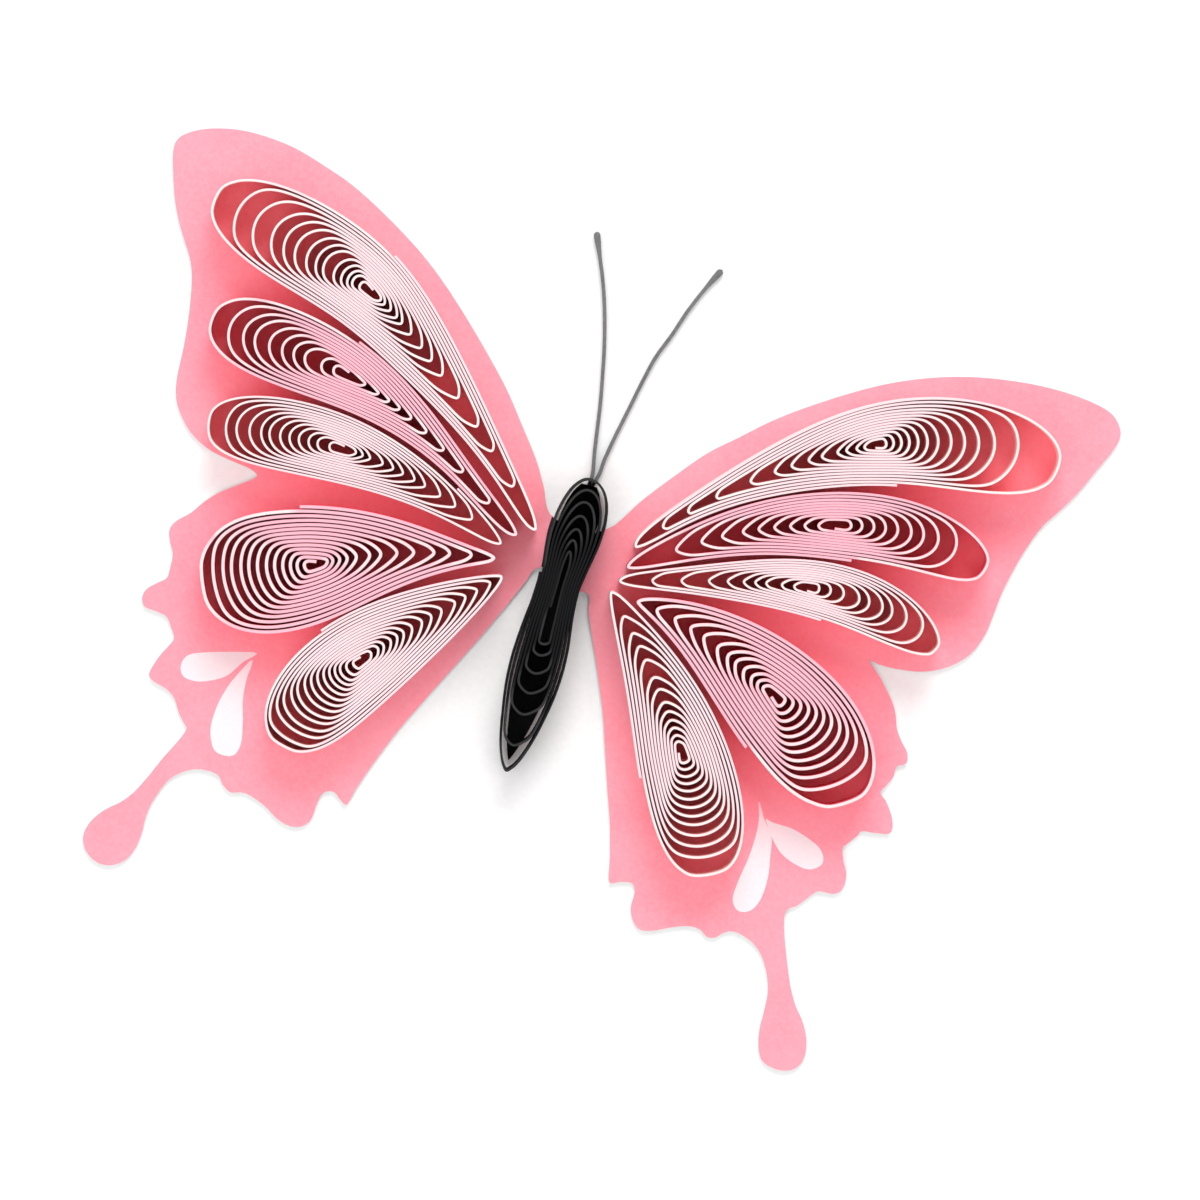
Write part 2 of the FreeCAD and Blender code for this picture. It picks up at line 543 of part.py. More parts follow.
LEFT_ANTENNA = [
    (0.02, 5.60), (0.02, 6.20),
    (0.04, 6.76), (-0.19, 7.91), (-0.40, 9.17), (-0.62, 10.52), (-0.90, 11.86), (-1.17, 13.10), (-1.55, 14.53), (-1.93, 15.74),
    (-2.37, 16.91), (-2.76, 17.80), (-3.31, 19.07),
]
RIGHT_ANTENNA = [
    (0.16, 5.60), (0.22, 6.20),
    (0.39, 6.86), (0.43, 7.64), (0.64, 9.02), (0.90, 10.42), (1.19, 12.04), (1.52, 13.56), (2.01, 14.90), (2.46, 16.35),
    (3.03, 17.77), (3.62, 18.99),
]


def prong(points, width, club, club_length):
    line = even(rounded(points, False), 0.12)
    n = len(line)
    run = [0.0]
    for i in range(n - 1):
        run.append(run[-1] + math.hypot(line[i + 1][0] - line[i][0], line[i + 1][1] - line[i][1]))
    up, lo = [], []
    for i in range(n):
        a, b = line[max(0, i - 1)], line[min(n - 1, i + 1)]
        dx, dy = b[0] - a[0], b[1] - a[1]
        l = math.hypot(dx, dy)
        left = run[-1] - run[i]
        w = width / 2
        if left < club_length:
            f = left / club_length
            w = width / 2 + (club - width) / 2 * math.sin(math.pi * min(1.0, (1 - f) * 1.2) / 2) ** 2
            if left < club / 2:
                w = math.sqrt(max(0.0, (club / 2) ** 2 - (club / 2 - left) ** 2))
        up.append((line[i][0] - dy / l * w, line[i][1] + dx / l * w))
        lo.append((line[i][0] + dy / l * w, line[i][1] - dx / l * w))
    return thin_out(up, 0.004) + thin_out(lo, 0.004)[::-1][1:]


card = doc.addObject("PartDesign::Body", "wing_card")
card.Label = "wing_card"
spine = []
for side in (1, -1):
    pts = []
    for i in range(61):
        y = -9.0 + 15.1 * i / 60
        w = max(0.0, body_line.half_width(-y) - SIZE["spine_inset"])
        if w > 0.02:
            pts.append((body_line.m(y) + side * w, y))
    pts = thin_out(pts, 0.004)
    spine += pts if side == 1 else pts[::-1]
cut = [
    ("spine", spine),
    ("left_wing", thin_out(rounded(LEFT_WING, True), 0.006)),
    ("right_wing", thin_out(rounded(RIGHT_WING, True), 0.006)),
    ("left_antenna", prong(LEFT_ANTENNA, SIZE["antenna_width"], SIZE["club_width"], SIZE["club_length"])),
    ("right_antenna", prong(RIGHT_ANTENNA, SIZE["antenna_width"], SIZE["club_width"], SIZE["club_length"])),
]
for name, points in cut:
    sketch = draw(card, name + "_outline", points)
    raise_pad(card, sketch, name, "card_thickness")
    doc.recompute()
PIECES.append(card)

doc.recompute()

# ---------------------------------------------------------------- checks, export
for o in doc.Objects:
    if "Invalid" in o.State or "Error" in o.State:
        raise RuntimeError("%s: %s" % (o.Name, o.State))
os.makedirs("parts", exist_ok=True)
for p in PIECES:
    s = p.Shape
    if s.isNull() or not s.isValid() or len(s.Solids) != 1 or s.Volume <= 0:
        raise RuntimeError("%s is not one valid solid" % p.Label)
    s.exportStep("parts/%s.step" % p.Label)
    b = s.BoundBox
    print("%s faces %d volume %.2f z %.2f..%.2f x %.2f..%.2f y %.2f..%.2f" % (
        p.Label, len(s.Faces), s.Volume, b.ZMin, b.ZMax, b.XMin, b.XMax, b.YMin, b.YMax))
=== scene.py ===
import math

import bpy
import numpy as np
from mathutils import Matrix, Vector
from mathutils.geometry import delaunay_2d_cdt


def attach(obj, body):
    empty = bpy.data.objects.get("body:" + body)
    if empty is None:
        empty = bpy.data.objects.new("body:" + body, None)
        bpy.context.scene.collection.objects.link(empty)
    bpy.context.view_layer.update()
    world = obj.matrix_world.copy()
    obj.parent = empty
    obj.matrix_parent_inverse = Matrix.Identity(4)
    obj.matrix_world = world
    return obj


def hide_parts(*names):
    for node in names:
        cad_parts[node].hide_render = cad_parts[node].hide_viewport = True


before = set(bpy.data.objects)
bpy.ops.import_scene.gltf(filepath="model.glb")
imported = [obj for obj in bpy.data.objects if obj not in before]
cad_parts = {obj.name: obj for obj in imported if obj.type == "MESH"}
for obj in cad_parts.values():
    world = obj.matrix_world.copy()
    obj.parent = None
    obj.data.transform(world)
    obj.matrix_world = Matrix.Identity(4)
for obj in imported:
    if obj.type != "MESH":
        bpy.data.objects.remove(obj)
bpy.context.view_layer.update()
MM = 0.001

# Quilled paper butterfly: the looks.  The tables are the part's own, in millimetres;
# the meshes made from them are in metres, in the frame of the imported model.
STRIP_HEIGHT = 3.0
CARD = 0.3
ANTENNA_WIDTH, CLUB_WIDTH, CLUB_LENGTH = 0.19, 0.34, 1.5
SPINE_INSET = 0.45

# strip thickness, material slot and kind of paper of each coil
KIND = {
    "left_forewing_coil_upper": (0.125, "pale_pink_paper"),
    "left_forewing_coil_middle": (0.135, "rose_paper"),
    "left_forewing_coil_lower": (0.11, "pale_pink_paper"),
    "left_hindwing_coil_upper": (0.165, "rose_paper"),
    "left_hindwing_coil_lower": (0.125, "pale_pink_paper"),
    "right_forewing_coil_upper": (0.125, "pale_pink_paper"),
    "right_forewing_coil_middle": (0.135, "rose_paper"),
    "right_forewing_coil_lower": (0.11, "pale_pink_paper"),
    "right_hindwing_coil_outer": (0.165, "rose_paper"),
    "right_hindwing_coil_inner": (0.125, "pale_pink_paper"),
    "body_coil": (0.125, "black_paper"),
}

# ---------------------------------------------------------------- tables
COILS = {
    "left_forewing_coil_upper": dict(
        round_end=(-23.156, 15.232), tip=(-2.030, 3.025), bow=(2.221, -0.287, -0.059),
        width=2.496, round_power=0.406, tip_power=1.397, eye=(-14.056, 12.824), slack=0.15,
        nose=(0.25, 0.06, 1.0, 0.66, 0.50), back=(0.5, 0.5), seam=0.29,
        tip_stations=(0.531, 0.884, 1.164, 1.607, 2.093, 2.506, 3.228, 4.127, 4.982, 5.925, 7.384, 9.182, 10.701, 12.852, 15.417),
        round_stations=(0.442, 0.884, 1.164, 1.518, 1.960, 2.624, 3.066, 3.626, 4.333, 5.011, 5.748, 6.839, 7.930, 9.286)),
    "left_forewing_coil_middle": dict(
        round_end=(-21.543, 9.135), tip=(-2.905, 2.517), bow=(1.835, -0.108, -0.807),
        width=2.148, round_power=0.403, tip_power=1.673, eye=(-13.918, 8.215), slack=0.15,
        nose=(0.25, 0.06, 1.0, 0.66, 0.50), back=(0.5, 0.5), seam=0.29,
        tip_stations=(0.368, 1.135, 1.990, 2.668, 3.360, 4.142, 5.218, 6.515, 8.033, 10.170, 12.381),
        round_stations=(0.678, 1.356, 2.329, 2.963, 3.611, 4.333, 5.144, 5.778, 6.574, 7.591)),
    "left_forewing_coil_lower": dict(
        round_end=(-20.244, 3.698), tip=(-3.564, 1.862), bow=(1.558, 0.089, -0.196),
        width=1.988, round_power=0.350, tip_power=1.019, eye=(-13.054, 4.383), slack=0.15,
        nose=(0.25, 0.06, 1.0, 0.66, 0.50), back=(0.5, 0.5), seam=0.15,
        tip_stations=(0.413, 0.781, 1.164, 1.577, 2.299, 2.904, 3.478, 4.171, 4.805, 5.748, 6.706, 7.812, 9.801),
        round_stations=(0.649, 1.297, 1.783, 2.314, 2.815, 3.316, 3.891, 4.333, 4.952, 5.645, 6.205, 7.134)),
    "left_hindwing_coil_upper": dict(
        round_end=(-18.280, -4.350), tip=(-3.663, 1.113), bow=(0.748, 0.256, -0.320),
        width=3.342, round_power=0.430, tip_power=1.285, eye=(-12.781, -1.860), slack=0.04,
        nose=(0.7, 0.12, 1.0, 0.9, 0.62), back=(0.5, 0.5), seam=0.29,
        tip_stations=(0.427, 0.737, 1.032, 1.400, 1.798, 2.285, 2.992, 3.582, 4.436, 5.321, 6.382, 7.207, 8.342, 9.551),
        round_stations=(0.501, 0.884, 1.238, 1.636, 2.063, 2.491, 2.963, 3.419, 3.832, 4.333, 4.775, 5.306, 5.925)),
    "left_hindwing_coil_lower": dict(
        round_end=(-11.740, -11.560), tip=(-3.040, 0.294), bow=(0.977, -0.520, 0.134),
        width=2.579, round_power=0.394, tip_power=0.925, eye=(-9.046, -6.118), slack=0.15,
        nose=(0.7, 0.12, 1.0, 0.9, 0.62), back=(0.5, 0.5), seam=0.29,
        tip_stations=(0.383, 0.752, 1.194, 1.533, 1.975, 2.373, 2.771, 3.287, 3.891, 4.466, 5.085, 5.896, 6.529, 7.222, 8.018, 8.696),
        round_stations=(0.354, 0.781, 1.150, 1.444, 1.754, 2.093, 2.461, 2.845, 3.243, 3.714, 4.097, 4.613, 5.026, 5.616, 6.043)),
    "right_forewing_coil_upper": dict(
        round_end=(23.481, 13.699), tip=(3.176, 3.647), bow=(-2.905, 0.359, -0.360),
        width=2.494, round_power=0.379, tip_power=1.410, eye=(13.981, 12.386), slack=0.15,
        nose=(0.25, 0.06, 1.0, 0.66, 0.50), back=(0.5, 0.5), seam=0.29,
        tip_stations=(0.354, 0.707, 1.120, 1.666, 2.137, 2.977, 3.699, 4.643, 5.571, 6.942, 8.917, 10.597, 12.145, 13.914),
        round_stations=(0.442, 0.825, 1.238, 1.651, 2.108, 2.594, 3.154, 3.832, 4.540, 5.277, 6.102, 7.311, 9.566)),
    "right_forewing_coil_middle": dict(
        round_end=(21.304, 7.523), tip=(3.095, 2.529), bow=(-2.534, 0.581, 0.033),
        width=1.877, round_power=0.357, tip_power=0.931, eye=(13.092, 7.716), slack=0.15,
        nose=(0.25, 0.06, 1.0, 0.66, 0.50), back=(0.5, 0.5), seam=0.29,
        tip_stations=(0.413, 0.958, 1.695, 2.461, 3.302, 4.142, 4.982, 6.102, 7.222, 8.622, 11.320),
        round_stations=(0.766, 1.341, 1.975, 2.594, 3.243, 3.965, 4.628, 5.424, 6.397, 8.254)),
    "right_forewing_coil_lower": dict(
        round_end=(19.980, 2.758), tip=(2.881, 1.730), bow=(-1.610, 0.769, -0.272),
        width=1.609, round_power=0.458, tip_power=1.249, eye=(12.686, 4.164), slack=0.15,
        nose=(0.25, 0.06, 1.0, 0.66, 0.50), back=(0.5, 0.5), seam=0.29,
        tip_stations=(0.340, 0.850, 1.500, 2.329, 2.904, 3.508, 4.348, 5.336, 6.780, 8.313, 10.023),
        round_stations=(0.450, 1.050, 1.750, 2.609, 3.154, 3.906, 4.451, 5.277, 6.235, 7.369)),
    "right_hindwing_coil_outer": dict(
        round_end=(17.637, -6.322), tip=(4.063, 0.939), bow=(-1.589, 0.058, -0.456),
        width=3.020, round_power=0.407, tip_power=1.000, eye=(12.582, -1.935), slack=0.04,
        nose=(0.7, 0.12, 1.0, 0.9, 0.62), back=(0.5, 0.5), seam=0.29,
        tip_stations=(0.545, 0.929, 1.312, 1.739, 2.299, 2.889, 3.434, 4.127, 5.041, 5.881, 6.839, 7.900, 8.991),
        round_stations=(0.427, 0.884, 1.341, 1.813, 2.270, 2.727, 3.213, 3.758, 4.260, 4.805, 5.542, 6.633)),
    "right_hindwing_coil_inner": dict(
        round_end=(11.744, -11.946), tip=(2.616, 1.143), bow=(-0.878, 0.028, 0.271),
        width=2.549, round_power=0.377, tip_power=0.994, eye=(8.658, -6.184), slack=0.15,
        nose=(0.7, 0.12, 1.0, 0.9, 0.62), back=(0.5, 0.5), seam=0.29,
        tip_stations=(0.413, 0.796, 1.135, 1.548, 1.975, 2.461, 2.977, 3.714, 4.392, 5.409, 6.205, 6.972, 7.974, 9.403),
        round_stations=(0.383, 0.737, 1.120, 1.503, 1.901, 2.344, 2.786, 3.257, 3.714, 4.289, 4.864, 5.453, 6.411)),
}
BODY = [
    (-9.564, 0.000, 0.000), (-9.495, -0.010, 0.150), (-9.290, -0.020, 0.322),
    (-8.952, -0.030, 0.496), (-8.487, -0.030, 0.677), (-7.904, -0.023, 0.852),
    (-7.211, -0.010, 1.017), (-6.420, 0.000, 1.165), (-5.546, 0.000, 1.315),
    (-4.604, -0.001, 1.420), (-3.608, -0.005, 1.457), (-2.578, -0.015, 1.410),
    (-1.529, -0.049, 1.300), (-0.480, -0.067, 1.185), (0.551, -0.080, 1.145),
    (1.546, -0.065, 1.237), (2.489, -0.045, 1.376), (3.363, -0.017, 1.470),
    (4.153, 0.018, 1.480), (4.846, 0.040, 1.400), (5.430, 0.050, 1.250),
    (5.895, 0.045, 1.030), (6.232, 0.030, 0.740), (6.437, 0.010, 0.380),
    (6.506, 0.000, 0.000),
]
BODY_TIPS = (2.0, 2.56, 3.17, 4.16, 5.24, 6.40, 8.10, 9.49)
BODY_ROUNDS = (2.50, 3.12, 3.73, 4.46, 5.22, 5.88, 6.43)

# the white drops printed on the hind wings
DROPS = [
    [(-14.37, -7.29), (-15.62, -7.58), (-17.21, -8.08), (-17.87, -8.46), (-18.03, -9.04), (-17.74, -9.54), (-16.96, -9.59), (-16.10, -9.25), (-15.47, -8.78), (-14.94, -7.96)],
    [(-14.55, -7.74), (-15.09, -8.77), (-15.41, -9.63), (-15.61, -10.64), (-15.60, -11.79), (-15.19, -12.73), (-14.65, -12.96), (-14.02, -12.78), (-13.85, -12.05), (-14.07, -10.96), (-14.38, -9.90), (-14.50, -8.79), (-14.45, -8.01)],
    [(13.91, -8.23), (14.32, -8.31), (15.48, -8.36), (16.75, -8.76), (17.29, -9.17), (17.41, -9.72), (16.86, -10.16), (16.08, -10.11), (15.21, -9.77), (14.57, -9.19), (14.10, -8.56)],
    [(13.30, -7.46), (13.82, -8.26), (14.44, -9.05), (14.69, -10.13), (14.87, -11.22), (14.82, -12.39), (14.46, -13.12), (13.84, -13.30), (13.40, -12.80), (13.41, -11.83), (13.60, -10.44), (13.64, -9.28), (13.55, -8.34)],
]

LEFT_WING = [
    (-1.51, 4.06), (-2.26, 5.38), (-3.07, 6.68), (-4.28, 8.20), (-5.46, 9.65), (-6.80, 11.04), (-8.46, 12.62), (-10.06, 14.03),
    (-11.58, 15.20), (-13.25, 16.25), (-14.88, 17.14), (-16.46, 17.88), (-17.97, 18.38), (-19.63, 18.84), (-21.05, 19.02), (-22.42, 19.03),
    (-23.57, 18.86), (-24.65, 18.53), (-25.46, 18.08), (-25.91, 17.58), (-25.95, 16.93), (-25.63, 15.82), (-25.19, 14.59), (-24.67, 13.54),
    (-24.04, 12.53), (-23.57, 11.82), (-23.18, 10.90), (-22.89, 9.62), (-22.68, 8.32), (-22.54, 7.01), (-22.46, 5.66), (-22.27, 4.69),
    (-21.89, 3.94), (-21.24, 3.19), (-20.48, 2.65), (-19.62, 2.30), (-18.53, 2.11), (-17.48, 1.98), (-16.99, 1.77), (-17.10, 1.49),
    (-17.89, 0.88), (-18.66, 0.27), (-19.24, -0.38), (-19.78, -1.16), (-20.38, -1.76), (-20.60, -2.31), (-20.39, -2.91), (-20.07, -3.50),
    (-20.01, -4.24), (-20.03, -4.79), (-20.44, -5.18), (-20.89, -5.65), (-20.99, -6.15), (-20.72, -6.57), (-20.02, -6.64), (-19.46, -6.77),
    (-19.08, -7.24), (-18.78, -7.73), (-18.91, -8.15), (-19.22, -8.77), (-19.45, -9.45), (-19.51, -9.95), (-19.18, -10.23), (-18.39, -10.45),
    (-17.86, -10.82), (-17.49, -11.39), (-17.06, -11.88), (-16.82, -12.19), (-17.12, -13.00), (-17.60, -14.00), (-18.05, -15.09), (-18.53, -16.09),
    (-19.08, -16.83), (-19.84, -17.53), (-20.37, -18.36), (-20.48, -19.16), (-20.13, -19.82), (-19.44, -20.24), (-18.69, -20.20), (-18.05, -19.76),
    (-17.68, -19.01), (-17.56, -18.11), (-17.59, -17.35), (-17.53, -16.57), (-17.29, -15.73), (-16.94, -14.96), (-16.34, -14.37), (-15.67, -14.04),
    (-15.03, -13.97), (-14.51, -14.07), (-14.17, -14.45), (-13.66, -14.73), (-13.12, -14.59), (-12.63, -14.61), (-11.78, -14.90), (-10.87, -15.41),
    (-10.14, -15.58), (-9.52, -15.40), (-9.18, -14.92), (-9.12, -14.13), (-9.02, -13.54), (-8.72, -13.25), (-8.34, -13.23), (-7.97, -13.51),
    (-7.57, -13.65), (-7.38, -12.86), (-6.98, -11.60), (-6.56, -10.42), (-6.00, -9.01), (-5.18, -7.24), (-4.22, -5.24), (-3.27, -3.23),
    (-2.46, -1.37), (-1.78, 0.27), (-1.38, 1.15),
    (0.30, 1.90), (0.30, 3.40),
]
RIGHT_WING = [
    (1.56, 4.14), (2.10, 4.73), (2.99, 6.19), (4.26, 7.88), (5.55, 9.46), (6.94, 10.74), (8.32, 12.02), (9.75, 13.13),
    (11.58, 14.39), (13.45, 15.51), (15.38, 16.41), (17.38, 17.09), (19.43, 17.53), (21.55, 17.78), (23.53, 17.78), (25.13, 17.54),
    (25.88, 17.10), (26.26, 16.44), (26.12, 15.63), (25.60, 14.40), (24.95, 12.89), (24.37, 11.85), (23.62, 10.63), (23.13, 9.29),
    (22.82, 8.10), (22.56, 6.72), (22.46, 5.58), (22.34, 4.46), (21.99, 3.38), (21.36, 2.53), (20.46, 1.87), (19.47, 1.48),
    (18.22, 1.29), (17.36, 1.27), (16.84, 1.32), (17.70, 0.54), (18.54, -0.37), (18.95, -1.02), (19.22, -1.71), (19.62, -2.27),
    (20.10, -2.80), (20.21, -3.34), (19.78, -3.66), (19.75, -4.24), (19.52, -4.78), (19.33, -5.22), (19.76, -5.59), (20.23, -6.22),
    (20.46, -6.81), (20.33, -7.19), (19.61, -7.35), (18.96, -7.45), (18.77, -7.79), (18.43, -8.27), (18.24, -8.61), (18.46, -9.22),
    (18.81, -9.88), (18.83, -10.64), (18.47, -11.04), (17.64, -11.14), (17.26, -11.53), (16.78, -12.16), (16.29, -12.58), (16.37, -13.28),
    (16.73, -14.32), (17.16, -15.35), (17.61, -16.37), (18.15, -17.27), (18.73, -17.96), (19.19, -18.79), (19.37, -19.69), (19.18, -20.33),
    (18.68, -20.72), (17.93, -20.79), (17.24, -20.54), (16.86, -19.85), (16.67, -18.94), (16.64, -18.00), (16.56, -17.06), (16.27, -16.19),
    (15.79, -15.36), (15.25, -14.84), (14.58, -14.53), (13.88, -14.43), (13.38, -14.68), (13.09, -14.99), (12.64, -15.09), (12.21, -14.83),
    (11.59, -14.81), (10.73, -15.11), (9.88, -15.54), (9.17, -15.71), (8.70, -15.40), (8.35, -14.74), (8.32, -13.89), (8.05, -13.48),
    (7.48, -13.55), (6.87, -13.72), (6.55, -12.48), (6.03, -10.71), (5.39, -8.98), (4.77, -7.24), (4.09, -5.32), (3.38, -3.68),
    (2.65, -2.06), (1.86, -0.37), (1.50, 0.60),
    (-0.30, 0.40), (-0.30, 2.60),
]
LEFT_ANTENNA = [
    (0.02, 5.60), (0.02, 6.20),
    (0.04, 6.76), (-0.19, 7.91), (-0.40, 9.17), (-0.62, 10.52), (-0.90, 11.86), (-1.17, 13.10), (-1.55, 14.53), (-1.93, 15.74),
    (-2.37, 16.91), (-2.76, 17.80), (-3.31, 19.07),
]
RIGHT_ANTENNA = [
    (0.16, 5.60), (0.22, 6.20),
    (0.39, 6.86), (0.43, 7.64), (0.64, 9.02), (0.90, 10.42), (1.19, 12.04), (1.52, 13.56), (2.01, 14.90), (2.46, 16.35),
    (3.03, 17.77), (3.62, 18.99),
]



# ---------------------------------------------------------------- lines


def smooth_table(xs, ys):
    """Monotone cubic through the table."""
    n = len(xs)
    h = [xs[i + 1] - xs[i] for i in range(n - 1)]
    d = [(ys[i + 1] - ys[i]) / h[i] for i in range(n - 1)]
    m = [0.0] * n
    m[0] = d[0]
    m[-1] = d[-1]
    for i in range(1, n - 1):
        if d[i - 1] * d[i] > 0:
            m[i] = (h[i - 1] + h[i]) * 3 / ((2 * h[i] + h[i - 1]) / d[i - 1]
                                            + (h[i] + 2 * h[i - 1]) / d[i])

    def value(x):
        if x <= xs[0]:
            return ys[0] + m[0] * (x - xs[0])
        if x >= xs[-1]:
            return ys[-1] + m[-1] * (x - xs[-1])
        lo, hi = 0, n - 1
        while hi - lo > 1:
            mid = (lo + hi) // 2
            if xs[mid] <= x:
                lo = mid
            else:
                hi = mid
        t = (x - xs[lo]) / h[lo]
        return (ys[lo] * (1 + 2 * t) * (1 - t) ** 2
                + ys[lo + 1] * t * t * (3 - 2 * t)
                + h[lo] * m[lo] * t * (1 - t) ** 2
                + h[lo] * m[lo + 1] * t * t * (t - 1))
    return value


class TeardropLine:
    """Bowed middle line and half width of a teardrop coil."""

    def __init__(self, c):
        self.E = c["round_end"]
        self.T = c["tip"]
        self.b = c["bow"]
        self.W = c["width"]
        self.a = c["round_power"]
        self.e = c["tip_power"]
        dx, dy = self.T[0] - self.E[0], self.T[1] - self.E[1]
        L = math.hypot(dx, dy)
        self.d = (dx, dy)
        self.n = (-dy / L, dx / L)
        self.L = L
        M = 1200
        self.sx = [i / M for i in range(M + 1)]
        P = [self.on_axis(q)[0] for q in self.sx]
        arc = [0.0]
        for i in range(M):
            arc.append(arc[-1] + math.hypot(P[i + 1][0] - P[i][0], P[i + 1][1] - P[i][1]))
        eye = c["eye"]
        i = min(range(M + 1), key=lambda j: math.hypot(P[j][0] - eye[0], P[j][1] - eye[1]))
        self.arc = [q - arc[i] for q in arc]
        nn = self.on_axis(self.sx[i])[1]
        self.lat = (eye[0] - P[i][0]) * nn[0] + (eye[1] - P[i][1]) * nn[1]
        self.Lt = self.arc[-1]
        self.Lr = -self.arc[0]

    def on_axis(self, q):
        u = 2 * q - 1
        g = 4 * q * (1 - q)
        B = self.b[0] + self.b[1] * u + self.b[2] * u * u
        P = (self.E[0] + self.d[0] * q + self.n[0] * g * B,
             self.E[1] + self.d[1] * q + self.n[1] * g * B)
        do = 4 * (1 - 2 * q) * B + g * (2 * self.b[1] + 4 * self.b[2] * u)
        D = (self.d[0] + self.n[0] * do, self.d[1] + self.n[1] * do)
        l = math.hypot(D[0], D[1])
        return P, (-D[1] / l, D[0] / l)

    def part_of(self, x):
        a = self.arc
        if x <= a[0]:
            return 0.0
        if x >= a[-1]:
            return 1.0
        lo, hi = 0, len(a) - 1
        while hi - lo > 1:
            m = (lo + hi) // 2
            if a[m] <= x:
                lo = m
            else:
                hi = m
        return self.sx[lo] + (x - a[lo]) / (a[hi] - a[lo]) * (self.sx[hi] - self.sx[lo])

    def half_width(self, x):
        q = self.part_of(x)
        sm = self.a / (self.a + self.e)
        w = self.W * (max(q, 0) ** self.a) * (max(1 - q, 0) ** self.e) \
            / (sm ** self.a * (1 - sm) ** self.e)
        d = max(self.Lt - x, 0)
        return math.sqrt(w * w + 0.2 * d * math.exp(-d / 3.0))

    def place(self, x, y):
        P, n = self.on_axis(self.part_of(x))
        ex = x - self.Lt if x > self.Lt else (x + self.Lr if x < -self.Lr else 0.0)
        y = y + self.lat * math.exp(-(x / 4.4) ** 2)
        return (P[0] + n[1] * ex + n[0] * y, P[1] - n[0] * ex + n[1] * y)


class BodyLine:
    """Nearly straight middle line of the body; x runs from the waist to the tail."""

    def __init__(self, rows):
        self.w = smooth_table([r[0] for r in rows], [r[2] for r in rows])
        self.m = smooth_table([r[0] for r in rows], [r[1] for r in rows])
        self.lo = rows[0][0]
        self.hi = rows[-1][0]
        self.Lt = -self.lo
        self.Lr = self.hi
        self.L = self.Lt + self.Lr

    def half_width(self, x):
        y = -x
        if y <= self.lo or y >= self.hi:
            return 0.0
        # round the two ends off like an arc
        w = self.w(y)
        e = min(y - self.lo, self.hi - y)
        if e < 0.2:
            w = max(w, math.sqrt(2 * (0.18 if y < 0 else 0.55) * e))
        return w

    def place(self, x, y):
        yy = max(self.lo, min(self.hi, -x))
        return (self.m(yy) - y, -x)


class Winding:
    """Level curves from the eye out, followed as one spiral that ends on a flank."""

    def __init__(self, line, tips, rounds, strip, first, slack, seam, nose, back):
        self.line = line
        self.t = strip
        self.N = len(tips) - 1
        self.A = smooth_table([float(k) for k in range(self.N + 1)], list(tips))
        self.R = smooth_table([-0.5] + [k + 0.5 for k in range(self.N)] + [self.N + 0.5],
                              [0.75 * rounds[0]] + list(rounds) + [rounds[-1] + strip + 0.03])
        self.first = first
        self.slack = slack
        self.seam = seam
        self.nose = nose
        self.back = back
        self.pitch = (line.half_width(0.0) - strip / 2 - first) / self.N

    def depth(self, k, side):
        """How many pitches a turn lies inside the outermost one on its side."""
        return self.N + 0.25 * side - k

    def flank(self, x, k, side):
        ln = self.line
        h = 1e-3 * ln.L
        wp = 0.0
        if -ln.Lr + h < x < ln.Lt - h:
            wp = (ln.half_width(x + h) - ln.half_width(x - h)) / (2 * h)
        wp = max(-0.9, min(0.9, wp))
        p = self.pitch * (1 + self.slack * (1 - math.exp(-(x / 3.0) ** 2)))
        return ln.half_width(x) - self.t / 2 - self.depth(k, side) * p * math.sqrt(1 + wp * wp)

    def half_height(self, x, k, side):
        A, R = self.A(min(k, float(self.N))), self.R(k)
        dt, dr = max(0.0, A - x), max(0.0, x + R)
        f = min(1.0, k / self.N)
        r_in, r_out, power, s_in, s_out = self.nose
        w = (1 - f) ** power
        r = (r_out + (r_in - r_out) * w) * self.flank(A, k, side)
        r = max(self.t / 2 + 0.03, min(1.2, r))
        slope = s_out + (s_in - s_out) * w
        Et = math.sqrt(2 * r * dt + (slope * dt) ** 2)
        H = (1.12 + 0.5 * max(0.0, (f - 0.7) / 0.3) ** 2) * max(0.12, self.flank(-0.4 * R, k, side))
        q = min(1.0, dr / (R * self.back[0 if side > 0 else 1] + 0.1))
        Er = H * math.sqrt(max(0.0, 1 - (1 - q) ** 2))
        v = [max(1e-6, e) for e in (Et, Er, self.flank(x, k, side))]
        return sum(e ** -7.0 for e in v) ** (-1 / 7.0)

    def point(self, T):
        u = T - math.floor(T)
        A, R = self.A(min(T, float(self.N))), self.R(T)
        x = (A - R) / 2 + (A + R) / 2 * math.cos(2 * math.pi * u)
        y = 0.0
        if 0.0 < u < 1.0 and u != 0.5:
            side = 1 if u < 0.5 else -1
            y = self.half_height(x, T, side) * side
        return self.line.place(x, y)

    def middle(self, per_turn=220):
        T0, T1 = 0.2, self.N + self.seam
        m = int(round((T1 - T0) * per_turn))
        return [self.point(T0 + (T1 - T0) * i / m) for i in range(m + 1)]


def offset(P, d):
    out = []
    n = len(P)
    for i in range(n):
        a = P[max(0, i - 1)]
        b = P[min(n - 1, i + 1)]
        dx, dy = b[0] - a[0], b[1] - a[1]
        l = math.hypot(dx, dy)
        out.append((P[i][0] - dy / l * d, P[i][1] + dx / l * d))
    return out


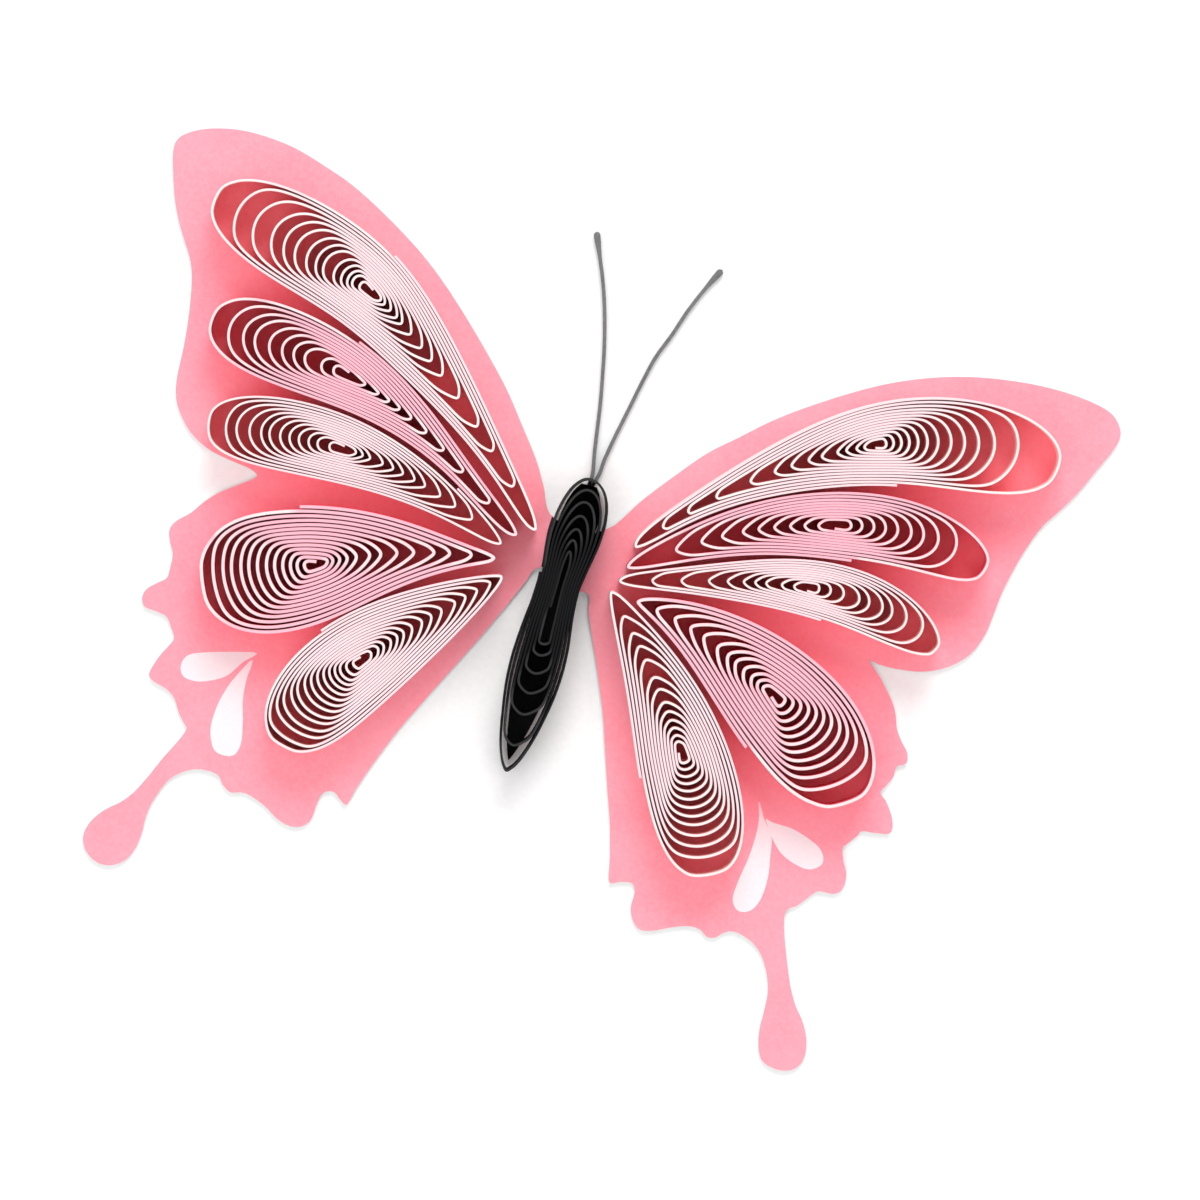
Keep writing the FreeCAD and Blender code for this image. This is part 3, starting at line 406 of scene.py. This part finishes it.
def thin_out(P, tol):
    """Fewest corners that stay within tol of the line."""
    keep = [False] * len(P)
    keep[0] = keep[-1] = True
    stack = [(0, len(P) - 1)]
    while stack:
        i, j = stack.pop()
        if j - i < 2:
            continue
        ax, ay = P[i]
        bx, by = P[j]
        dx, dy = bx - ax, by - ay
        l2 = dx * dx + dy * dy
        best, at = -1.0, None
        for k in range(i + 1, j):
            px, py = P[k][0] - ax, P[k][1] - ay
            t = 0.0 if l2 == 0 else max(0.0, min(1.0, (px * dx + py * dy) / l2))
            e = (px - t * dx) ** 2 + (py - t * dy) ** 2
            if e > best:
                best, at = e, k
        if best > tol * tol:
            keep[at] = True
            stack.append((i, at))
            stack.append((at, j))
    return [p for p, k in zip(P, keep) if k]


def even(P, step):
    """Evenly spaced points along an open line."""
    out = [P[0]]
    left = step
    for i in range(len(P) - 1):
        a, b = P[i], P[i + 1]
        l = math.hypot(b[0] - a[0], b[1] - a[1])
        while l >= left and l > 0:
            f = left / l
            a = (a[0] + (b[0] - a[0]) * f, a[1] + (b[1] - a[1]) * f)
            out.append(a)
            l -= left
            left = step
        left -= l
    out.append(P[-1])
    return out


def crossing(a, b, c, d):
    """Where segment ab meets segment cd, or None."""
    rx, ry = b[0] - a[0], b[1] - a[1]
    sx, sy = d[0] - c[0], d[1] - c[1]
    den = rx * sy - ry * sx
    if abs(den) < 1e-12:
        return None
    t = ((c[0] - a[0]) * sy - (c[1] - a[1]) * sx) / den
    u = ((c[0] - a[0]) * ry - (c[1] - a[1]) * rx) / den
    if -0.01 <= t <= 1.01 and -0.01 <= u <= 1.01:
        return (a[0] + rx * t, a[1] + ry * t)
    return None


def rounded(points, closed, n=6):
    """Catmull-Rom line through the given points."""
    m = len(points)
    out = []
    for i in range(m if closed else m - 1):
        if closed:
            p0, p1, p2, p3 = (points[(i + j) % m] for j in (-1, 0, 1, 2))
        else:
            p0 = points[max(0, i - 1)]
            p1, p2 = points[i], points[i + 1]
            p3 = points[min(m - 1, i + 2)]
        for j in range(n):
            t = j / n
            out.append(tuple(0.5 * (2 * p1[c] + (p2[c] - p0[c]) * t
                                    + (2 * p0[c] - 5 * p1[c] + 4 * p2[c] - p3[c]) * t * t
                                    + (3 * p1[c] - p0[c] - 3 * p2[c] + p3[c]) * t ** 3)
                             for c in (0, 1)))
    if not closed:
        out.append(points[-1])
    return out

def prong(points, width, club, club_length):
    line = even(rounded(points, False), 0.12)
    n = len(line)
    run = [0.0]
    for i in range(n - 1):
        run.append(run[-1] + math.hypot(line[i + 1][0] - line[i][0], line[i + 1][1] - line[i][1]))
    up, lo = [], []
    for i in range(n):
        a, b = line[max(0, i - 1)], line[min(n - 1, i + 1)]
        dx, dy = b[0] - a[0], b[1] - a[1]
        l = math.hypot(dx, dy)
        left = run[-1] - run[i]
        w = width / 2
        if left < club_length:
            f = left / club_length
            w = width / 2 + (club - width) / 2 * math.sin(math.pi * min(1.0, (1 - f) * 1.2) / 2) ** 2
            if left < club / 2:
                w = math.sqrt(max(0.0, (club / 2) ** 2 - (club / 2 - left) ** 2))
        up.append((line[i][0] - dy / l * w, line[i][1] + dx / l * w))
        lo.append((line[i][0] + dy / l * w, line[i][1] - dx / l * w))
    return thin_out(up, 0.004) + thin_out(lo, 0.004)[::-1][1:]


# ---------------------------------------------------------------- node helpers


class Nodes:
    """Short calls for building a node material."""

    def __init__(self, name):
        self.mat = bpy.data.materials.new(name)
        self.mat.use_nodes = True
        self.t = self.mat.node_tree
        self.t.nodes.clear()
        self.out = self.t.nodes.new("ShaderNodeOutputMaterial")
        self.bsdf = self.t.nodes.new("ShaderNodeBsdfPrincipled")
        self.t.links.new(self.bsdf.outputs[0], self.out.inputs[0])
        self.co = self.t.nodes.new("ShaderNodeTexCoord").outputs["Object"]

    def link(self, a, b):
        self.t.links.new(a, b)

    def value(self, v, socket):
        if isinstance(v, (int, float)):
            socket.default_value = v
        elif isinstance(v, tuple):
            socket.default_value = (*v, 1.0) if len(v) == 3 and socket.type == "RGBA" else v
        else:
            self.link(v, socket)

    def scaled(self, v):
        n = self.t.nodes.new("ShaderNodeVectorMath")
        n.operation = "MULTIPLY"
        self.link(self.co, n.inputs[0])
        n.inputs[1].default_value = v
        return n.outputs[0]

    def noise(self, scale, detail=3.0, rough=0.55, vec=None, distortion=0.0):
        n = self.t.nodes.new("ShaderNodeTexNoise")
        self.link(vec or self.co, n.inputs["Vector"])
        n.inputs["Scale"].default_value = scale
        n.inputs["Detail"].default_value = detail
        n.inputs["Roughness"].default_value = rough
        n.inputs["Distortion"].default_value = distortion
        return n.outputs[0]

    def attribute(self, name):
        n = self.t.nodes.new("ShaderNodeAttribute")
        n.attribute_name = name
        return n.outputs["Fac"]

    def math(self, op, a, b=0.0, clamp=False):
        n = self.t.nodes.new("ShaderNodeMath")
        n.operation = op
        n.use_clamp = clamp
        self.value(a, n.inputs[0])
        self.value(b, n.inputs[1])
        return n.outputs[0]

    def spread(self, v, lo, hi, to_lo, to_hi, smooth=True):
        n = self.t.nodes.new("ShaderNodeMapRange")
        n.interpolation_type = "SMOOTHSTEP" if smooth else "LINEAR"
        self.value(v, n.inputs["Value"])
        n.inputs["From Min"].default_value = lo
        n.inputs["From Max"].default_value = hi
        n.inputs["To Min"].default_value = to_lo
        n.inputs["To Max"].default_value = to_hi
        return n.outputs[0]

    def mix(self, fac, a, b, blend="MIX"):
        n = self.t.nodes.new("ShaderNodeMix")
        n.data_type = "RGBA"
        n.blend_type = blend
        self.value(fac, n.inputs[0])
        self.value(a, n.inputs[6])
        self.value(b, n.inputs[7])
        return n.outputs[2]

    def bump(self, height, distance, strength=1.0, normal=None):
        n = self.t.nodes.new("ShaderNodeBump")
        n.inputs["Strength"].default_value = strength
        n.inputs["Distance"].default_value = distance
        self.link(height, n.inputs["Height"])
        if normal is not None:
            self.link(normal, n.inputs["Normal"])
        return n.outputs[0]

    def finish(self, colour, rough, normal=None, specular=0.3, sheen=0.0):
        self.value(colour, self.bsdf.inputs["Base Color"])
        self.value(rough, self.bsdf.inputs["Roughness"])
        self.bsdf.inputs["Specular IOR Level"].default_value = specular
        if sheen:
            self.bsdf.inputs["Sheen Weight"].default_value = sheen
            self.bsdf.inputs["Sheen Roughness"].default_value = 0.6
        if normal is not None:
            self.link(normal, self.bsdf.inputs["Normal"])
        return self.mat


def srgb(r, g, b):
    """Linear colour from 0-255 display values."""
    out = []
    for c in (r, g, b):
        c = c / 255
        out.append(c / 12.92 if c <= 0.04045 else ((c + 0.055) / 1.055) ** 2.4)
    return tuple(out)


def paper_edge(name, packed, free_highlight, deep, seed, specular=0.25):
    """Cut top edge of a strip: soft fibres, with a painted highlight: paler where the strip stands free of its
    neighbours.
    """
    m = Nodes(name)
    off = m.scaled((1.0, 1.0, 1.0))
    fine = m.noise(26000.0 + seed, 4.0, 0.62, off)
    fibre = m.noise(9000.0 + seed, 3.0, 0.55, m.scaled((1.0, 0.65, 0.4)), 0.6)
    cloud = m.noise(520.0 + seed, 2.0, 0.5, off)
    free_highlight_mask = m.attribute("free_highlight")
    turn = m.attribute("turn")
    # painted highlight: top edges that stand free of their neighbours are painted paler than packed ones
    col = m.mix(m.spread(free_highlight_mask, 0.05, 0.9, 0.0, 1.0), packed, free_highlight)
    col = m.mix(m.spread(turn, 0.0, 1.0, 0.0, 0.22, False), col, deep)
    col = m.mix(m.spread(fibre, 0.32, 0.70, 0.20, 0.0), col, deep)
    col = m.mix(m.spread(cloud, 0.35, 0.65, 0.10, 0.0), col, deep)
    col = m.mix(m.spread(fine, 0.35, 0.65, 0.0, 0.10), col, free_highlight)
    rough = m.spread(fine, 0.3, 0.7, 0.80, 0.95)
    n = m.bump(fine, 0.000010, 0.8)
    n = m.bump(fibre, 0.000022, 0.8, n)
    return m.finish(col, rough, n, specular)


def paper_wall(name, main, deep, seed, specular=0.25):
    """Face of a strip: smooth wood-free paper with faint long fibres."""
    m = Nodes(name)
    along = m.attribute("len")
    turn = m.attribute("turn")
    comb = m.t.nodes.new("ShaderNodeCombineXYZ")
    sep = m.t.nodes.new("ShaderNodeSeparateXYZ")
    m.link(m.co, sep.inputs[0])
    m.link(m.math("MULTIPLY", along, 0.35), comb.inputs[0])
    m.link(sep.outputs[2], comb.inputs[1])
    m.link(turn, comb.inputs[2])
    long_fibre = m.noise(7000.0 + seed, 4.0, 0.6, comb.outputs[0], 0.4)
    fine = m.noise(24000.0 + seed, 3.0, 0.6)
    cloud = m.noise(450.0 + seed, 2.0, 0.5)
    col = m.mix(m.spread(long_fibre, 0.30, 0.70, 0.22, 0.0), main, deep)
    col = m.mix(m.spread(cloud, 0.35, 0.65, 0.14, 0.0), col, deep)
    rough = m.spread(m.mix(0.5, long_fibre, fine), 0.3, 0.7, 0.78, 0.92)
    n = m.bump(fine, 0.000006, 0.7)
    n = m.bump(long_fibre, 0.000014, 0.7, n)
    return m.finish(col, rough, n, specular)


def card_print(name, ink, strong, light, grain=1.0):
    """Ink on smooth card: fine grain, slight mottling, tiny missed specks."""
    m = Nodes(name)
    fine = m.noise(15000.0, 3.0, 0.7)
    speck = m.noise(5200.0, 2.0, 0.6)
    cloud = m.noise(330.0, 3.0, 0.55)
    col = m.mix(m.spread(fine, 0.30, 0.70, 0.55 * grain, 0.0), ink, strong)
    col = m.mix(m.spread(speck, 0.30, 0.72, 0.0, 0.42 * grain), col, light)
    col = m.mix(m.spread(cloud, 0.36, 0.66, 0.0, 0.22 * grain), col, light)
    rough = m.spread(fine, 0.3, 0.7, 0.60, 0.82)
    n = m.bump(fine, 0.000008, 0.5)
    n = m.bump(speck, 0.000012, 0.4, n)
    return m.finish(col, rough, n, 0.3)


def plain_card(name, main, deep):
    """Bare card: back face and cut edges."""
    m = Nodes(name)
    fibre = m.noise(8000.0, 4.0, 0.65, m.scaled((1.0, 1.0, 3.0)), 0.5)
    cloud = m.noise(300.0, 3.0, 0.5)
    col = m.mix(m.spread(fibre, 0.3, 0.7, 0.5, 0.0), main, deep)
    col = m.mix(m.spread(cloud, 0.35, 0.65, 0.35, 0.0), col, deep)
    rough = m.spread(fibre, 0.3, 0.7, 0.75, 0.92)
    n = m.bump(fibre, 0.000016, 0.6)
    return m.finish(col, rough, n, 0.25)


# ---------------------------------------------------------------- strip meshes


def unloop_pairs(Q, reach=36):
    """Points of an offset line with the small loops drawn together to one point."""
    Q = [tuple(q) for q in Q]
    i = 0
    while i < len(Q) - 1:
        cut = None
        for j in range(min(len(Q) - 2, i + reach), i + 1, -1):
            X = crossing(Q[i], Q[i + 1], Q[j], Q[j + 1])
            if X is not None:
                cut = (j, X)
                break
        if cut:
            for k in range(i + 1, cut[0] + 1):
                Q[k] = cut[1]
            i = cut[0] + 1
        else:
            i += 1
    return Q


def keep_rows(P, tol):
    """Which points of the middle line to keep, as thin_out does, with long runs divided."""
    keep = [False] * len(P)
    keep[0] = keep[-1] = True
    stack = [(0, len(P) - 1)]
    while stack:
        i, j = stack.pop()
        if j - i < 2:
            continue
        ax, ay = P[i]
        bx, by = P[j]
        dx, dy = bx - ax, by - ay
        l2 = dx * dx + dy * dy
        best, at = -1.0, None
        for k in range(i + 1, j):
            px, py = P[k][0] - ax, P[k][1] - ay
            t = 0.0 if l2 == 0 else max(0.0, min(1.0, (px * dx + py * dy) / l2))
            e = (px - t * dx) ** 2 + (py - t * dy) ** 2
            if e > best:
                best, at = e, k
        if best > tol * tol or l2 > 0.7 ** 2:
            if best <= tol * tol:
                at = (i + j) // 2
            keep[at] = True
            stack.append((i, at))
            stack.append((at, j))
    return [i for i, k in enumerate(keep) if k]


PER_TURN = 220
BEVEL = 0.014


def strip_mesh(label, winding, seed):
    P = winding.middle(PER_TURN)
    n = len(P)
    A = np.array(P)
    t = winding.t
    up = unloop_pairs(offset(P, t / 2))
    lo = unloop_pairs(offset(P, -t / 2))
    # gap to the turn outside and the turn inside
    gap = []
    for side in (1, -1):
        d = np.full(n, 9.0)
        for k in range(-26, 27):
            idx = np.arange(n) + side * PER_TURN + k
            ok = (idx >= 0) & (idx < n)
            dist = np.full(n, 9.0)
            dist[ok] = np.hypot(*(A[ok] - A[idx[ok]]).T)
            d = np.minimum(d, dist)
        gap.append(d - t)
    outer, inner = gap
    outer = np.where(outer > 5, 0.10, outer)
    inner = np.where(inner > 5, 0.25, inner)
    # how far each point stands free of the turns beside it; this drives the painted highlight on the top edge
    free_highlight = np.clip((np.minimum(outer, 0.6) + np.minimum(inner, 0.6) - 0.10) / 0.46, 0, 1)
    run = np.concatenate([[0.0], np.cumsum(np.hypot(*(A[1:] - A[:-1]).T))])
    T = 0.1 + np.arange(n) / PER_TURN
    rows = keep_rows(P, 0.0035)
    rng = np.random.RandomState(seed)
    f1, f2, f3 = rng.rand(3) * 6.28
    z0, z1 = CARD, CARD + STRIP_HEIGHT
    verts, attr_free_highlight, attr_len, attr_turn = [], [], [], []
    shade = rng.rand(int(T[-1]) + 3)
    b = min(BEVEL, t * 0.2)
    for i in rows:
        dip = 0.004 + 0.030 * (0.5 + 0.5 * math.sin(2 * math.pi * 0.37 * T[i] + f1)) \
            + 0.018 * (0.5 + 0.5 * math.sin(0.9 * run[i] + f2)) \
            + 0.007 * (0.5 + 0.5 * math.sin(4.3 * run[i] + f3))
        zt = z1 - dip
        u, l = up[i], lo[i]
        wx, wy = u[0] - l[0], u[1] - l[1]
        w = math.hypot(wx, wy) or 1e-9
        e = min(b, 0.35 * w) / w
        ring = [
            (l[0], l[1], z0), (l[0], l[1], zt - b), (l[0] + wx * e, l[1] + wy * e, zt),
            (u[0] - wx * e, u[1] - wy * e, zt), (u[0], u[1], zt - b), (u[0], u[1], z0),
        ]
        verts += ring
        k = T[i]
        s = shade[int(k)] * (1 - (k % 1)) + shade[int(k) + 1] * (k % 1)
        attr_free_highlight += [float(free_highlight[i])] * 6
        attr_len += [float(run[i]) * MM] * 6
        attr_turn += [float(s)] * 6
    m = len(rows)
    faces, kinds = [], []
    for i in range(m - 1):
        a, c = 6 * i, 6 * (i + 1)
        for j in range(6):
            k = (j + 1) % 6
            faces.append((a + j, a + k, c + k, c + j))
            kinds.append(1 if j in (1, 2, 3) else 0)
    faces.append((0, 5, 4, 3, 2, 1))
    faces.append(tuple(6 * (m - 1) + j for j in range(6)))
    kinds += [0, 0]
    me = bpy.data.meshes.new(label + "_strip")
    me.from_pydata([(x * MM, y * MM, z * MM) for x, y, z in verts], [], faces)
    me.polygons.foreach_set("material_index", kinds)
    me.polygons.foreach_set("use_smooth", [True] * len(faces))
    for name, data in (("free_highlight", attr_free_highlight), ("len", attr_len), ("turn", attr_turn)):
        at = me.attributes.new(name, "FLOAT", "POINT")
        at.data.foreach_set("value", data)
    me.update()
    me.set_sharp_from_angle(angle=math.radians(38))
    o = bpy.data.objects.new(label + "_strip", me)
    bpy.context.scene.collection.objects.link(o)
    return o


def facing_out(o):
    """Turn the faces outward if the closed mesh has them inward."""
    me = o.data
    co = np.zeros(len(me.vertices) * 3)
    me.vertices.foreach_get("co", co)
    co = co.reshape(-1, 3)
    me.calc_loop_triangles()
    tri = np.zeros(len(me.loop_triangles) * 3, np.int32)
    me.loop_triangles.foreach_get("vertices", tri)
    tri = tri.reshape(-1, 3)
    a, b, c = co[tri[:, 0]], co[tri[:, 1]], co[tri[:, 2]]
    if np.einsum("ij,ij->i", a, np.cross(b, c)).sum() < 0:
        me.flip_normals()


def wound(label):
    t, slot = KIND[label]
    if label == "body_coil":
        return Winding(BodyLine(BODY), BODY_TIPS, BODY_ROUNDS, t, 0.125, 0.20, 0.30,
                       (0.7, 0.5, 1.0, 0.9, 0.9), (0.5, 0.5))
    c = COILS[label]
    return Winding(TeardropLine(c), c["tip_stations"], c["round_stations"], t, 0.19,
                   c["slack"], c["seam"], c["nose"], c["back"])


# the second colour of each edge is a painted highlight for top edges that stand free; on the black paper it paints grey
# streaks of light along the edges
PAPERS = {
    "pale_pink_paper": (
        paper_wall("pale_pink_wall", (0.97, 0.70, 0.68), (0.95, 0.57, 0.56), 0.0),
        paper_edge("pale_pink_edge", (0.80, 0.63, 0.66), (0.80, 0.76, 0.73), (0.82, 0.50, 0.54), 3.0)),
    "rose_paper": (
        paper_wall("rose_wall", (0.91, 0.20, 0.29), (0.84, 0.12, 0.19), 11.0),
        paper_edge("rose_edge", (0.80, 0.42, 0.50), (0.80, 0.72, 0.71), (0.78, 0.30, 0.38), 7.0)),
    "black_paper": (
        paper_wall("black_wall", (0.008, 0.008, 0.009), (0.003, 0.003, 0.004), 5.0, 0.10),
        paper_edge("black_edge", (0.007, 0.007, 0.008), (0.035, 0.035, 0.037), (0.003, 0.003, 0.003), 9.0, 0.10)),
}

for number, label in enumerate(KIND):
    o = strip_mesh(label, wound(label), 100 + number)
    facing_out(o)
    for mat in PAPERS[KIND[label][1]]:
        o.data.materials.append(mat)
    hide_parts(label)
    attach(o, "root")

# ---------------------------------------------------------------- card mesh
body_line = BodyLine(BODY)
spine = []
for side in (1, -1):
    pts = []
    for i in range(61):
        y = -9.0 + 15.1 * i / 60
        w = max(0.0, body_line.half_width(-y) - SPINE_INSET)
        if w > 0.02:
            pts.append((body_line.m(y) + side * w, y))
    spine += pts if side == 1 else pts[::-1]
outlines = [
    ("spine", thin_out(spine, 0.004)),
    ("wing", thin_out(rounded(LEFT_WING, True), 0.004)),
    ("wing", thin_out(rounded(RIGHT_WING, True), 0.004)),
    ("antenna", prong(LEFT_ANTENNA, ANTENNA_WIDTH, CLUB_WIDTH, CLUB_LENGTH)),
    ("antenna", prong(RIGHT_ANTENNA, ANTENNA_WIDTH, CLUB_WIDTH, CLUB_LENGTH)),
]
for d in DROPS:
    outlines.append(("drop", thin_out(rounded(d, True), 0.004)))
under = []
for side in (1, -1):
    pts = []
    for i in range(81):
        y = -9.30 + 15.65 * i / 80
        pts.append((body_line.m(y) + side * max(0.03, body_line.half_width(-y) - 0.07), y))
    under += pts if side == 1 else pts[::-1]
outlines.append(("body", thin_out(under, 0.004)))

points, loops = [], []
for kind, pts in outlines:
    start = len(points)
    points += [Vector((x, y)) for x, y in pts]
    loops.append(list(range(start, len(points))))
flat, edges, tris, _, _, _ = delaunay_2d_cdt(points, [], loops, 1, 1e-5)


def within(xy, pts):
    """Which of the points xy lie inside the closed line pts."""
    p = np.array(pts)
    q = np.roll(p, -1, axis=0)
    x, y = xy[:, :1], xy[:, 1:]
    over = (p[:, 1] > y) != (q[:, 1] > y)
    with np.errstate(divide="ignore", invalid="ignore"):
        at = p[:, 0] + (y - p[:, 1]) * (q[:, 0] - p[:, 0]) / (q[:, 1] - p[:, 1])
    return (over & (x < at)).sum(axis=1) % 2 == 1


middles = np.array([[sum(flat[k].x for k in t) / len(t), sum(flat[k].y for k in t) / len(t)] for t in tris])
inside = {}
for kind, pts in outlines:
    inside[kind] = inside.get(kind, np.zeros(len(tris), bool)) | within(middles, pts)
TOP_KIND = {"print": 0, "drop": 1, "antenna": 2, "core": 3, "under": 4}
kinds = []
for i in range(len(tris)):
    if inside["drop"][i]:
        kinds.append("drop")
    elif inside["wing"][i] or inside["spine"][i]:
        # under the body coil the card is printed black; this stands in for the shade in the gaps between the body's
        # strips
        kinds.append("under" if inside["body"][i] else "print")
    elif inside["antenna"][i]:
        kinds.append("antenna")
    else:
        kinds.append(None)
nv = len(flat)
verts = [(p.x * MM, p.y * MM, CARD * MM) for p in flat] + [(p.x * MM, p.y * MM, 0.0) for p in flat]
faces, mats = [], []
owner = {}
for tri, kind in zip(tris, kinds):
    if kind is None:
        continue
    t = list(tri)
    a, b, c = (flat[k] for k in t[:3])
    if (b.x - a.x) * (c.y - a.y) - (b.y - a.y) * (c.x - a.x) < 0:
        t = t[::-1]
    faces.append(tuple(t))
    mats.append(TOP_KIND[kind])
    faces.append(tuple(k + nv for k in reversed(t)))
    mats.append(TOP_KIND["core"] if kind != "antenna" else TOP_KIND["antenna"])
    for k in range(len(t)):
        owner.setdefault((t[k], t[(k + 1) % len(t)]), kind)
for (a, b), kind in owner.items():
    if (b, a) not in owner:
        faces.append((b, a, a + nv, b + nv))
        mats.append(TOP_KIND["antenna"] if kind == "antenna" else TOP_KIND["core"])
me = bpy.data.meshes.new("wing_card_sheet")
me.from_pydata(verts, [], faces)
me.polygons.foreach_set("material_index", mats)
me.update()
card = bpy.data.objects.new("wing_card_sheet", me)
bpy.context.scene.collection.objects.link(card)
facing_out(card)
for mat in (
    card_print("wing_print", (0.95, 0.292, 0.362), (0.94, 0.232, 0.298), (0.96, 0.375, 0.445)),
    card_print("drop_print", (0.86, 0.72, 0.75), (0.85, 0.64, 0.68), (0.88, 0.80, 0.82), 0.7),
    card_print("antenna_print", (0.120, 0.122, 0.125), (0.085, 0.087, 0.090), (0.21, 0.21, 0.215)),
    plain_card("card_core", (0.84, 0.83, 0.81), (0.74, 0.72, 0.70)),
    # black print under the body: partly print, partly painted shade so the gaps between the body's strips show black
    card_print("under_body_print_and_shade", (0.014, 0.012, 0.013), (0.009, 0.008, 0.009), (0.024, 0.020, 0.022), 0.6),
):
    card.data.materials.append(mat)
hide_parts("wing_card")
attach(card, "root")

# ---------------------------------------------------------------- floor, light, camera
size = 0.9
me = bpy.data.meshes.new("floor")
z = -0.00003
me.from_pydata([(-size, -size, z), (size, -size, z), (size, size, z), (-size, size, z)], [], [(0, 1, 2, 3)])
floor = bpy.data.objects.new("floor", me)
bpy.context.scene.collection.objects.link(floor)
m = Nodes("floor_paper")
grain = m.noise(3000.0, 3.0, 0.6)
col = m.mix(m.spread(grain, 0.3, 0.7, 0.0, 1.0), (0.86, 0.86, 0.865), (0.89, 0.89, 0.89))
floor.data.materials.append(m.finish(col, 0.9, None, 0.1))

PHOTO_UP = Vector((-0.27816, 0.96054, 0.0)).normalized()
PHOTO_RIGHT = PHOTO_UP.cross(Vector((0, 0, 1)))
MIDDLE = Vector((2.27, 0.44, 0.0)) * MM


def soft_light(name, where, size, power, colour=(1.0, 1.0, 1.0)):
    data = bpy.data.lights.new(name, "AREA")
    data.shape = "DISK"
    data.size = size
    data.energy = power
    data.color = colour
    o = bpy.data.objects.new(name, data)
    o.location = MIDDLE + where
    o.rotation_mode = "QUATERNION"
    o.rotation_quaternion = (-where).to_track_quat("-Z", "Y")
    bpy.context.scene.collection.objects.link(o)
    return o


up, right, z = PHOTO_UP, PHOTO_RIGHT, Vector((0, 0, 1))
soft_light("key", up * 0.44 + right * 0.06 + z * 0.44, 0.34, 2.2, (1.0, 0.995, 0.985))
soft_light("fill", -up * 0.25 - right * 0.30 + z * 0.60, 0.50, 0.9, (0.99, 0.995, 1.0))

scene = bpy.context.scene
world = bpy.data.worlds.new("studio")
world.use_nodes = True
bg = world.node_tree.nodes["Background"]
bg.inputs[0].default_value = (1.0, 1.0, 1.0, 1.0)
bg.inputs[1].default_value = 0.90
scene.world = world
scene.view_settings.view_transform = "Standard"
scene.view_settings.look = "None"
scene.cycles.max_bounces = 16
scene.cycles.diffuse_bounces = 12

# straight down from above the middle of the picture, aimed at the butterfly
cam_data = bpy.data.cameras.new("camera")
cam = bpy.data.objects.new("camera", cam_data)
height, across = 0.65, 0.0634
cam.location = Vector((-9.50 * MM, 12.99 * MM, height))
back = (cam.location - MIDDLE).normalized()
rx = PHOTO_UP.cross(back).normalized()
ry = back.cross(rx)
cam.rotation_mode = "QUATERNION"
cam.rotation_quaternion = Matrix((rx, ry, back)).transposed().to_quaternion()
cam_data.sensor_width = 36.0
cam_data.lens = 36.0 * (cam.location - MIDDLE).length / across
cam_data.clip_start, cam_data.clip_end = 0.02, 5.0
scene.collection.objects.link(cam)
scene.camera = cam
